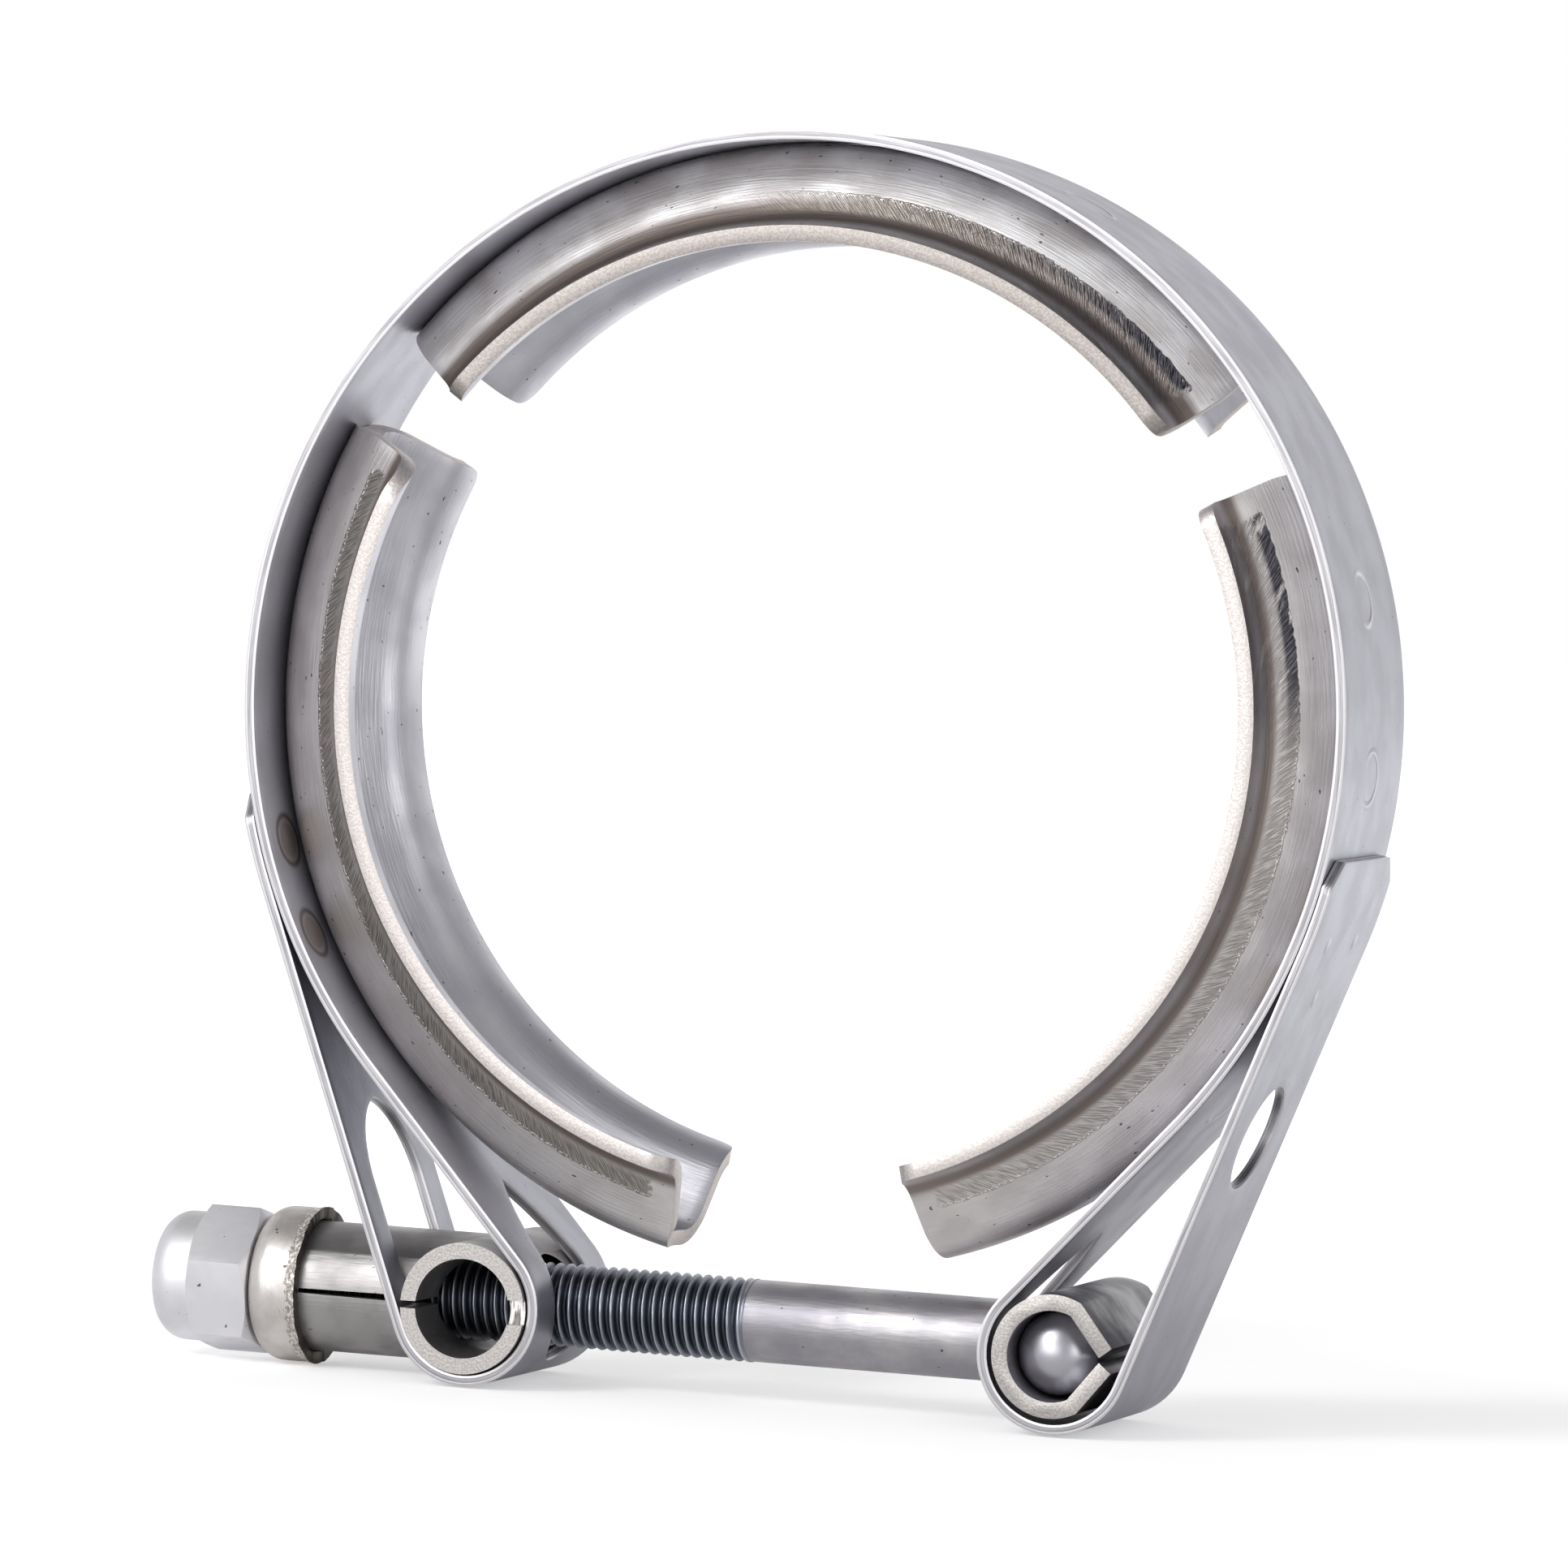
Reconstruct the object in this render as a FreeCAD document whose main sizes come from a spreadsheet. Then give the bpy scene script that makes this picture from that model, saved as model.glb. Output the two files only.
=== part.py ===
"""V-band clamp: a sprung strap with three V-section retainers, closed by a T-bolt between two trunnions.

Frame: +X along the T-bolt from the nut to the T-head, +Y along the axis of the ring, +Z up.
The origin is the centre of the ring, midway across the strap. Lengths are millimetres, angles are degrees.
"""

import FreeCAD, Part
import math
import os

import Sketcher

Vector = FreeCAD.Vector

# Driving dimensions, one row each: name, value, what it measures
SIZES = [
    ("strap_radius", 54.0, "outer face of the strap's ring"),
    ("strap_thickness", 0.95, "strap sheet"),
    ("strap_width", 20.4, "strap along the ring's axis"),
    ("trunnion_spread", 58.0, "between the two trunnion axes"),
    ("trunnion_below", 4.0, "trunnion axes below the ring's lowest point"),
    ("loop_radius", 6.4, "inside of each strap loop"),
    ("tail_gap", 0.1, "between the welded tail and the ring"),
    ("tail_end_angle", 11.5, "end of each tail below the ring's level"),
    ("tail_corner", 2.4, "clipped corner of each tail"),
    ("bolt_slot_half", 5.3, "half width of the slots that the bolt passes"),
    ("bolt_slot_foot", 5.0, "foot of those slots below the bolt's axis"),
    ("bolt_slot_top", 11.2, "tip of those slots above the bolt's axis"),
    ("tube_slot_half", 6.35, "half width of the tail slot round the nut tube"),
    ("tube_slot_top", 18.6, "tip of that slot above the bolt's axis"),
    ("tube_slot_point", 7.94, "height of its pointed top"),
    ("sight_hole_radius", 5.2, "hole in the tail at the T-head"),
    ("sight_hole_rise", 24.9, "its centre up the tail from the loop"),
    ("weld_gap", 0.08, "between the retainers and the strap"),
    ("retainer_thickness", 1.5, "retainer sheet"),
    ("base_half", 1.6, "half of the flat at the bottom of the V"),
    ("root_bend", 1.4, "inside bend between base and leg"),
    ("leg_angle", 25.0, "each leg of the V from the ring's radius"),
    ("flare_bend", 2.9, "outside bend between leg and lip"),
    ("lip_land", 0.8, "straight end of each lip"),
    ("channel_depth", 9.37, "from the outside of the base to the inside of the lips"),
    ("lip_corner", 2.2, "rounded corners at the ends of the lips"),
    ("top_span_angle", 103.4, "arc of the top retainer"),
    ("left_span_angle", 106.0, "arc of the retainer on the nut's side"),
    ("left_turn_angle", 114.8, "its middle, round from the top"),
    ("right_span_angle", 101.6, "arc of the retainer on the T-head's side"),
    ("right_turn_angle", 112.6, "its middle, round from the top"),
    ("trunnion_length", 21.6, "both trunnions along their axes"),
    ("nut_tube_radius", 6.2, "outside of the nut trunnion's two tubes"),
    ("nut_tube_wall", 1.5, "their sheet"),
    ("nut_tube_length", 21.75, "bolt tube from the cross tube's axis"),
    ("cap_seat", 0.85, "from the tube's end, in the cap's inside bend, to its end wall"),
    ("nut_tube_slit", 0.9, "open seam along the bolt tube"),
    ("fold_notch_half", 1.15, "half height of the notch at the fold"),
    ("fold_notch_depth", 0.5, "its depth"),
    ("sleeve_radius", 5.75, "outside of the T-head's sleeve"),
    ("sleeve_wall", 1.5, "its sheet"),
    ("sleeve_start_angle", 62.0, "where its straight legs leave the round"),
    ("sleeve_leg_length", 5.0, "outside of each straight leg"),
    ("sleeve_leg_angle", 51.6, "slope of each leg towards the slit"),
    ("sleeve_hole", 0.2, "gap round the shank in the sleeve's wall"),
    ("shank_radius", 3.88, "smooth shank"),
    ("thread_radius", 3.97, "crest of the fine thread, drawn as a plain cylinder"),
    ("head_set_back", 0.3, "T-head towards the nut from its sleeve's axis, as the bolt pulls it"),
    ("thread_start", 32.1, "end of the smooth shank from the T-head's axis"),
    ("bolt_length", 91.0, "T-head's axis to the bolt's tip"),
    ("bolt_tip", 0.9, "chamfer at the tip"),
    ("head_radius", 3.85, "T-head bar"),
    ("head_length", 19.6, "T-head bar over its domes"),
    ("head_dome", 2.3, "height of each dome"),
    ("cap_wall", 1.1, "cap sheet"),
    ("cap_length", 5.5, "cap along the bolt"),
    ("cap_gap", 0.1, "between cap and tube"),
    ("cap_shoulder", 2.3, "rounded shoulder of the cap"),
    ("cap_flare", 0.15, "outward flare of the cap's rim"),
    ("cap_flare_length", 0.9, "length of that flare"),
    ("cap_hole_gap", 0.3, "round the bolt in the cap's end"),
    ("nut_flats", 12.7, "lock nut across its flats"),
    ("nut_hex", 6.1, "height of the hexagon"),
    ("nut_collar", 4.3, "height of the locking collar"),
    ("nut_collar_radius", 6.2, "outside of the collar"),
    ("nut_crown", 2.4, "rounded top of the collar"),
    ("nut_mouth", 4.35, "opening in the top of the collar"),
    ("nut_chamfer_angle", 30.0, "slope of the chamfers on the hexagon"),
    ("nut_turn_angle", 16.5, "a corner of the hexagon above the front"),
    ("thread_gap", 0.05, "radial gap in the nut's thread"),
    ("seat_gap", 0.05, "between the nut and the cap"),
]

doc = FreeCAD.newDocument("v_band_clamp")
sheet = doc.addObject("Spreadsheet::Sheet", "Sizes")
for row, (alias, value, meaning) in enumerate(SIZES, start=1):
    sheet.set(f"A{row}", alias)
    sheet.set(f"B{row}", str(value))
    sheet.set(f"C{row}", meaning)
    sheet.setAlias(f"B{row}", alias)
doc.recompute()


def size(alias):
    """Read one driving dimension, to place a sketch's lines before its constraints hold them."""
    return float(sheet.get(alias))


def trunnion_drop():
    """How far the trunnion axes lie below the ring's centre."""
    return size("strap_radius") + size("trunnion_below")


def channel_base():
    """The radius of the retainers' base, outside."""
    return size("strap_radius") - size("strap_thickness") - size("weld_gap")


DROP = "(Sizes.strap_radius + Sizes.trunnion_below)"
BASE = "(Sizes.strap_radius - Sizes.strap_thickness - Sizes.weld_gap)"
LIP = "(Sizes.strap_radius - Sizes.strap_thickness - Sizes.weld_gap - Sizes.channel_depth)"

# Small helpers for bodies and sketches


def check_document():
    """A failed feature doesn't stop a recompute, so every object's state is read."""
    for item in doc.Objects:
        if "Invalid" in item.State or "Error" in item.State:
            raise RuntimeError(f"{item.Name} failed: {item.State}")


def new_body(name):
    body = doc.addObject("PartDesign::Body", name)
    body.Label = name
    return body


def origin_feature(body, role):
    return next(feature for feature in body.Origin.OriginFeatures if feature.Role == role)


def new_sketch(body, role, name):
    """A sketch on one of the body's own planes. XZ reads x, z and YZ reads y, z."""
    sketch = body.newObject("Sketcher::SketchObject", name)
    sketch.AttachmentSupport = [(origin_feature(body, role), "")]
    sketch.MapMode = "FlatFace"
    return sketch


def line(start, end):
    return Part.LineSegment(Vector(*start, 0), Vector(*end, 0)), False


def arc(centre, radius, start, end):
    """An arc from one angle to the other, walked backwards when the angle falls."""
    circle = Part.Circle(Vector(*centre, 0), Vector(0, 0, 1), radius)
    low, high = sorted((math.radians(start), math.radians(end)))
    return Part.ArcOfCircle(circle, low, high), start > end


def polar(centre, radius, angle):
    turn = math.radians(angle)
    return centre[0] + radius * math.cos(turn), centre[1] + radius * math.sin(turn)


def trace(sketch, walk, corners=()):
    """Add a closed walk of lines and arcs. Joints are tangent, apart from those listed in corners."""
    curves = [sketch.addGeometry(curve, False) for curve, _ in walk]
    for here in range(len(walk)):
        there = (here + 1) % len(walk)
        leave = 1 if walk[here][1] else 2
        enter = 2 if walk[there][1] else 1
        kind = "Coincident" if here in corners else "Tangent"
        sketch.addConstraint(Sketcher.Constraint(kind, curves[here], leave, curves[there], enter))
    return curves


def hold(sketch, expression, kind, *where):
    """Hold a length, radius or angle of the sketch at an expression of the sheet."""
    index = sketch.addConstraint(Sketcher.Constraint(kind, *where))
    sketch.setExpression(f"Constraints[{index}]", expression)


def fix(sketch, kind, *where):
    sketch.addConstraint(Sketcher.Constraint(kind, *where))


def centred_circle(body, role, name, expression, radius):
    """A circle round the origin of a plane."""
    sketch = new_sketch(body, role, name)
    circle = Part.Circle(Vector(0, 0, 0), Vector(0, 0, 1), radius)
    curve = sketch.addGeometry(circle, False)
    fix(sketch, "Coincident", curve, 3, -1, 1)
    hold(sketch, expression, "Radius", curve, radius)
    return sketch


def pad(body, sketch, name, length, middle=False, backwards=False):
    feature = body.newObject("PartDesign::Pad", name)
    feature.Profile = sketch
    feature.Midplane = middle
    feature.Reversed = backwards
    feature.setExpression("Length", length)
    return feature


def pocket(body, sketch, name, length, middle=False, backwards=False):
    """Cut a sketch's shape away, and stop if the cut removed nothing."""
    doc.recompute()
    check_document()
    before = body.Shape.Volume
    feature = body.newObject("PartDesign::Pocket", name)
    feature.Profile = sketch
    feature.Midplane = middle
    feature.Reversed = backwards
    feature.setExpression("Length", length)
    doc.recompute()
    if body.Shape.Volume >= before:
        raise RuntimeError(f"{name} cuts nothing")
    return feature


def revolve(body, sketch, name, axis, kind="PartDesign::Revolution"):
    feature = body.newObject(kind, name)
    feature.Profile = sketch
    feature.ReferenceAxis = (sketch, [axis])
    feature.Angle = 360
    return feature


def dress(body, kind, name, edges, amount, expression):
    """Chamfer or round some edges of the body as it stands."""
    base = body.Tip
    feature = body.newObject(kind, name)
    feature.Base = (base, edges)
    feature.setExpression(amount, expression)
    return feature


def place(body, x, z):
    body.setExpression("Placement.Base.x", x)
    body.setExpression("Placement.Base.z", z)


# Strap: one strip that forms the ring, and at each end runs down, round a trunnion and back up


def strap_outline(body):
    """The strip's edge seen along the ring's axis. Its two faces are tangent lines and arcs,
    and the same tangent angles serve both, because the faces lie one sheet apart."""
    ring, sheet_wall = size("strap_radius"), size("strap_thickness")
    loop, gap = size("loop_radius"), size("tail_gap")
    across, drop = size("trunnion_spread") / 2, trunnion_drop()
    reach, down = math.hypot(across, drop), math.degrees(math.atan2(-drop, across))
    leg = down + math.degrees(math.acos((ring + loop) / reach))
    tail = down + math.degrees(math.acos((ring + gap - loop) / reach))
    end = -size("tail_end_angle")
    middle, right, left = (0, 0), (across, -drop), (-across, -drop)
    bore, back = ring - sheet_wall, loop + sheet_wall
    under, over = ring + gap, ring + gap + sheet_wall
    walk = [
        arc(middle, ring, leg, 180 - leg),
        line(polar(middle, ring, 180 - leg), polar(left, loop, -leg)),
        arc(left, loop, -leg, -180 - tail),
        line(polar(left, loop, -180 - tail), polar(middle, under, -180 - tail)),
        arc(middle, under, 180 - tail, 180 - end),
        line(polar(middle, under, 180 - end), polar(middle, over, 180 - end)),
        arc(middle, over, 180 - end, 180 - tail),
        line(polar(middle, over, -180 - tail), polar(left, back, -180 - tail)),
        arc(left, back, -180 - tail, -leg),
        line(polar(left, back, -leg), polar(middle, bore, 180 - leg)),
        arc(middle, bore, 180 - leg, leg),
        line(polar(middle, bore, leg), polar(right, back, 180 + leg)),
        arc(right, back, 180 + leg, 360 + tail),
        line(polar(right, back, tail), polar(middle, over, tail)),
        arc(middle, over, tail, end),
        line(polar(middle, over, end), polar(middle, under, end)),
        arc(middle, under, end, tail),
        line(polar(middle, under, tail), polar(right, loop, tail)),
        arc(right, loop, 360 + tail, 180 + leg),
        line(polar(right, loop, 180 + leg), polar(middle, ring, leg)),
    ]
    sketch = new_sketch(body, "XZ_Plane", "strap_outline")
    curves = trace(sketch, walk, corners=(4, 5, 14, 15))
    for index in (0, 4, 6, 10, 14, 16):
        fix(sketch, "Coincident", curves[index], 3, -1, 1)
    for index, centre in ((2, left), (18, right)):
        side = "-" if centre is left else ""
        hold(sketch, f"{side}Sizes.trunnion_spread / 2", "DistanceX", -1, 1, curves[index], 3, centre[0])
        hold(sketch, f"-{DROP}", "DistanceY", -1, 1, curves[index], 3, centre[1])
        hold(sketch, "Sizes.loop_radius", "Radius", curves[index], loop)
    for index, inner in ((8, 2), (12, 18)):
        fix(sketch, "Coincident", curves[index], 3, curves[inner], 3)
        hold(sketch, "Sizes.loop_radius + Sizes.strap_thickness", "Radius", curves[index], back)
    hold(sketch, "Sizes.strap_radius", "Radius", curves[0], ring)
    hold(sketch, "Sizes.strap_radius - Sizes.strap_thickness", "Radius", curves[10], bore)
    for index in (4, 16):
        hold(sketch, "Sizes.strap_radius + Sizes.tail_gap", "Radius", curves[index], under)
    for index in (6, 14):
        expression = "Sizes.strap_radius + Sizes.tail_gap + Sizes.strap_thickness"
        hold(sketch, expression, "Radius", curves[index], over)
    for index in (5, 15):
        fix(sketch, "PointOnObject", -1, 1, curves[index])
        height = "-(Sizes.strap_radius + Sizes.tail_gap) * sin(Sizes.tail_end_angle * 1 deg)"
        foot = 1 if index == 5 else 2
        hold(sketch, height, "DistanceY", -1, 1, curves[index], foot, under * math.sin(math.radians(end)))
    return sketch, leg, tail


def arched_slot(sketch, half, foot, top, names):
    """A slot with a round foot and a pointed top, centred on the sketch's upright axis."""
    spring = foot + half
    rise = top - spring
    arch = (rise * rise + half * half) / (2 * half)
    lean = math.degrees(math.atan2(rise, arch - half))
    walk = [
        arc((0, spring), half, 180, 360),
        arc((half - arch, spring), arch, 0, lean),
        arc((arch - half, spring), arch, 180 - lean, 180),
    ]
    curves = trace(sketch, walk, corners=(1,))
    half_name, foot_name, top_name = names
    fix(sketch, "PointOnObject", curves[0], 3, -2)
    fix(sketch, "PointOnObject", curves[1], 2, -2)
    fix(sketch, "Equal", curves[1], curves[2])
    hold(sketch, half_name, "Radius", curves[0], half)
    hold(sketch, f"{foot_name} + {half_name}", "DistanceY", -1, 1, curves[0], 3, spring)
    hold(sketch, top_name, "DistanceY", -1, 1, curves[1], 2, top)
    fix(sketch, "Horizontal", curves[0], 1, curves[0], 3)


def tail_sketch(body, name, side, tail):
    """A sketch on the outer face of a tail. Its upright axis runs along the tail from the loop."""
    sketch = new_sketch(body, "YZ_Plane", name)
    across, drop = size("trunnion_spread") / 2, trunnion_drop()
    depth = size("loop_radius") + size("strap_thickness")
    foot_x, foot_z = polar((across, -drop), depth, tail)
    turn = -tail if side > 0 else 180 + tail
    sketch.AttachmentOffset = FreeCAD.Placement(
        Vector(0, foot_z, side * foot_x), FreeCAD.Rotation(Vector(1, 0, 0), turn)
    )
    return sketch


def make_strap():
    body = new_body("strap")
    outline, leg, tail = strap_outline(body)
    pad(body, outline, "strap_strip", "Sizes.strap_width", middle=True)
    drop = trunnion_drop()
    slot_names = (
        "Sizes.bolt_slot_half",
        f"-{DROP} - Sizes.bolt_slot_foot",
        f"-{DROP} + Sizes.bolt_slot_top",
    )
    for name, backwards in (("nut_leg_slot", False), ("head_leg_slot", True)):
        sketch = new_sketch(body, "YZ_Plane", name + "_outline")
        foot, top = -drop - size("bolt_slot_foot"), -drop + size("bolt_slot_top")
        arched_slot(sketch, size("bolt_slot_half"), foot, top, slot_names)
        pocket(body, sketch, name, "Sizes.trunnion_spread / 2", backwards=backwards)

    # The tube of the nut trunnion passes through the outer half of its loop
    tube_sketch = new_sketch(body, "YZ_Plane", "tube_passage_outline")
    tube_sketch.AttachmentOffset = FreeCAD.Placement(
        Vector(0, 0, -size("trunnion_spread") / 2), FreeCAD.Rotation()
    )
    tube_sketch.setExpression("AttachmentOffset.Base.z", "-Sizes.trunnion_spread / 2")
    circle = Part.Circle(Vector(0, -drop, 0), Vector(0, 0, 1), size("tube_slot_half"))
    curve = tube_sketch.addGeometry(circle, False)
    fix(tube_sketch, "PointOnObject", curve, 3, -2)
    hold(tube_sketch, f"-{DROP}", "DistanceY", -1, 1, curve, 3, -drop)
    hold(tube_sketch, "Sizes.tube_slot_half", "Radius", curve, size("tube_slot_half"))
    pocket(body, tube_sketch, "tube_passage", "Sizes.loop_radius * 2")

    # Above the tube the same slot runs up the tail to its pointed top
    slope = math.cos(math.radians(tail))
    sketch = tail_sketch(body, "tube_slot_outline", -1, tail)
    tip = -(size("tube_slot_top") + size("loop_radius") * math.sin(math.radians(-tail))) / slope
    half = size("tube_slot_half")
    arch_rise = size("tube_slot_point")
    shoulder = tip + arch_rise
    arch = (arch_rise * arch_rise + half * half) / (2 * half)
    lean = math.degrees(math.atan2(arch_rise, arch - half))
    walk = [
        line((-half, 0), (half, 0)),
        line((half, 0), (half, shoulder)),
        arc((half - arch, shoulder), arch, 0, -lean),
        arc((arch - half, shoulder), arch, 180 + lean, 180),
        line((-half, shoulder), (-half, 0)),
    ]
    trace(sketch, walk, corners=(0, 2, 4))
    pocket(body, sketch, "tube_slot", "Sizes.strap_thickness + Sizes.tail_gap")

    # A round hole in the other tail
    sketch = tail_sketch(body, "sight_hole_outline", 1, tail)
    radius, rise = size("sight_hole_radius"), size("sight_hole_rise")
    curve = sketch.addGeometry(Part.Circle(Vector(0, rise, 0), Vector(0, 0, 1), radius), False)
    fix(sketch, "PointOnObject", curve, 3, -2)
    hold(sketch, "Sizes.sight_hole_rise", "DistanceY", -1, 1, curve, 3, rise)
    hold(sketch, "Sizes.sight_hole_radius", "Radius", curve, radius)
    pocket(body, sketch, "sight_hole", "Sizes.strap_thickness + Sizes.tail_gap")

    clip_tail_corners(body)
    return body


def clip_tail_corners(body):
    """Cut the four corners of the tails, where the edges are as short as the sheet is thick."""
    inner = size("strap_radius") + size("tail_gap")
    middle = inner + size("strap_thickness") / 2
    height = -middle * math.sin(math.radians(size("tail_end_angle")))
    corners = []
    for number, edge in enumerate(body.Shape.Edges, start=1):
        centre = edge.CenterOfMass
        at_edge = abs(abs(centre.y) - size("strap_width") / 2) < 0.01
        if at_edge and abs(centre.z - height) < 0.01 and math.hypot(centre.x, centre.z) > inner:
            corners.append(f"Edge{number}")
    dress(body, "PartDesign::Chamfer", "tail_corners", corners, "Size", "Sizes.tail_corner")


# Retainers: three arcs of rolled V channel inside the strap


def retainer_section(body):
    """Half of the channel's section: y along the ring's axis, z out along its radius."""
    wall, lean = size("retainer_thickness"), size("leg_angle")
    base = channel_base()
    flat, inner_root, flare = size("base_half"), size("root_bend"), size("flare_bend")
    root = inner_root + wall
    root_centre = (flat, base - root)
    leg_top = polar(root_centre, root, lean)
    lip = base - size("channel_depth") + wall
    turn = math.radians(lean)
    leg_length = (leg_top[1] + flare * math.sin(turn) - flare - lip) / math.cos(turn)
    leg_foot = leg_top[0] + leg_length * math.sin(turn), leg_top[1] - leg_length * math.cos(turn)
    flare_centre = polar(leg_foot, flare, lean)
    tip = flare_centre[0] + size("lip_land")
    outer_flare = flare + wall
    walk = [
        line((0, base), (flat, base)),
        arc(root_centre, root, 90, lean),
        line(leg_top, leg_foot),
        arc(flare_centre, flare, 180 + lean, 270),
        line((flare_centre[0], lip), (tip, lip)),
        line((tip, lip), (tip, lip - wall)),
        line((tip, lip - wall), (flare_centre[0], lip - wall)),
        arc(flare_centre, outer_flare, 270, 180 + lean),
        line(polar(flare_centre, outer_flare, 180 + lean), polar(root_centre, inner_root, lean)),
        arc(root_centre, inner_root, lean, 90),
        line((flat, base - wall), (0, base - wall)),
        line((0, base - wall), (0, base)),
    ]
    sketch = new_sketch(body, "YZ_Plane", body.Label + "_section")
    curves = trace(sketch, walk, corners=(4, 5, 10, 11))
    fix(sketch, "Horizontal", curves[0])
    fix(sketch, "Horizontal", curves[4])
    fix(sketch, "Vertical", curves[5])
    fix(sketch, "PointOnObject", curves[11], 1, -2)
    fix(sketch, "PointOnObject", curves[11], 2, -2)
    fix(sketch, "Coincident", curves[1], 3, curves[9], 3)
    fix(sketch, "Coincident", curves[3], 3, curves[7], 3)
    hold(sketch, BASE, "DistanceY", -1, 1, curves[0], 1, base)
    hold(sketch, "Sizes.retainer_thickness", "DistanceY", curves[11], 1, curves[11], 2, wall)
    hold(sketch, "Sizes.base_half", "DistanceX", curves[0], 1, curves[0], 2, flat)
    hold(sketch, "Sizes.root_bend", "Radius", curves[9], inner_root)
    hold(sketch, "Sizes.flare_bend", "Radius", curves[3], flare)
    hold(sketch, "Sizes.leg_angle * 1 deg - 90 deg", "Angle", curves[2], math.radians(lean - 90))
    hold(sketch, LIP, "DistanceY", -1, 1, curves[5], 2, lip - wall)
    hold(sketch, "Sizes.lip_land", "DistanceX", curves[4], 1, curves[4], 2, size("lip_land"))
    return sketch, tip


def make_retainer(name, span, turn):
    body = new_body(name)
    section, tip = retainer_section(body)
    half = revolve(body, section, name + "_half", "H_Axis")
    half.Midplane = True
    half.setExpression("Angle", f"Sizes.{span}")
    mirror = body.newObject("PartDesign::Mirrored", name + "_channel")
    mirror.Originals = [half]
    mirror.MirrorPlane = (origin_feature(body, "XZ_Plane"), [""])
    body.Tip = mirror
    doc.recompute()
    lip = channel_base() - size("channel_depth") + size("retainer_thickness")
    round_lip_corners(body, tip, lip)
    body.Placement = FreeCAD.Placement(Vector(), FreeCAD.Rotation(Vector(0, 1, 0), 0))
    body.setExpression("Placement.Rotation.Axis.y", "1")
    body.setExpression("Placement.Rotation.Angle", turn)
    return body


def round_lip_corners(body, tip, lip):
    """Round the four corners where a lip's cut edge meets the ends of the arc."""
    corners = []
    for number, edge in enumerate(body.Shape.Edges, start=1):
        ends = [vertex.Point for vertex in edge.Vertexes]
        at_tip = all(abs(abs(point.y) - tip) < 0.01 for point in ends)
        radii = [math.hypot(point.x, point.z) for point in ends]
        if at_tip and len(ends) == 2 and abs(radii[0] - radii[1]) > 0.5 and max(radii) < lip + 0.1:
            corners.append(f"Edge{number}")
    name = body.Label + "_corners"
    dress(body, "PartDesign::Fillet", name, corners, "Radius", "Sizes.lip_corner")


# Nut trunnion: a sheet folded into a tube round the bolt and a cross tube in the strap's loop


def make_nut_trunnion():
    body = new_body("nut_trunnion")
    outer = size("nut_tube_radius")
    inner = outer - size("nut_tube_wall")
    bore = "Sizes.nut_tube_radius - Sizes.nut_tube_wall"
    cross = centred_circle(body, "XZ_Plane", "cross_tube_outline", "Sizes.nut_tube_radius", outer)
    pad(body, cross, "cross_tube", "Sizes.trunnion_length", middle=True)
    tube = centred_circle(body, "YZ_Plane", "bolt_tube_outline", "Sizes.nut_tube_radius", outer)
    pad(body, tube, "bolt_tube", "Sizes.nut_tube_length", backwards=True)
    cross_bore = centred_circle(body, "XZ_Plane", "cross_bore_outline", bore, inner)
    pocket(body, cross_bore, "cross_bore", "Sizes.trunnion_length * 2", middle=True)
    bolt_bore = centred_circle(body, "YZ_Plane", "bolt_bore_outline", bore, inner)
    pocket(body, bolt_bore, "bolt_bore", "Sizes.nut_tube_length * 3", middle=True)

    # The open seam runs along the front and back of the bolt tube and through the cross tube's ends
    slit = size("nut_tube_slit") / 2
    far = size("nut_tube_length")
    seam = new_sketch(body, "XZ_Plane", "seam_outline")
    walk = [
        line((-far, -slit), (0, -slit)),
        line((0, -slit), (0, slit)),
        line((0, slit), (-far, slit)),
        line((-far, slit), (-far, -slit)),
    ]
    curves = trace(seam, walk, corners=(0, 1, 2, 3))
    for index in (0, 2):
        fix(seam, "Horizontal", curves[index])
    for index in (1, 3):
        fix(seam, "Vertical", curves[index])
    fix(seam, "PointOnObject", curves[1], 1, -2)
    hold(seam, "Sizes.nut_tube_length", "DistanceX", curves[0], 1, curves[0], 2, far)
    hold(seam, "Sizes.nut_tube_slit", "DistanceY", curves[1], 1, curves[1], 2, 2 * slit)
    hold(seam, "Sizes.nut_tube_slit / 2", "DistanceY", -1, 1, curves[1], 2, slit)
    pocket(body, seam, "seam", "Sizes.trunnion_length * 2", middle=True)

    # A shallow notch at each end of the fold, opposite the seam
    for name, side in (("front_notch", 1), ("back_notch", -1)):
        sketch = new_sketch(body, "XZ_Plane", name + "_outline")
        high, end = size("fold_notch_half"), outer + size("nut_tube_wall")
        walk = [
            line((0, -high), (end, -high)),
            line((end, -high), (end, high)),
            line((end, high), (0, high)),
            line((0, high), (0, -high)),
        ]
        curves = trace(sketch, walk, corners=(0, 1, 2, 3))
        for index in (0, 2):
            fix(sketch, "Horizontal", curves[index])
        fix(sketch, "Vertical", curves[1])
        fix(sketch, "PointOnObject", curves[0], 1, -2)
        fix(sketch, "PointOnObject", curves[2], 2, -2)
        reach = "Sizes.nut_tube_radius + Sizes.nut_tube_wall"
        hold(sketch, reach, "DistanceX", curves[0], 1, curves[0], 2, end)
        hold(sketch, "Sizes.fold_notch_half", "DistanceY", -1, 1, curves[2], 2, high)
        hold(sketch, "Sizes.fold_notch_half * 2", "DistanceY", curves[1], 1, curves[1], 2, 2 * high)
        face = side * size("trunnion_length") / 2
        sketch.AttachmentOffset = FreeCAD.Placement(Vector(0, 0, face), FreeCAD.Rotation())
        sketch.setExpression("AttachmentOffset.Base.z", f"{side} * Sizes.trunnion_length / 2")
        pocket(body, sketch, name, "Sizes.fold_notch_depth", backwards=side < 0)
    place(body, "-Sizes.trunnion_spread / 2", f"-{DROP}")
    return body


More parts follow.
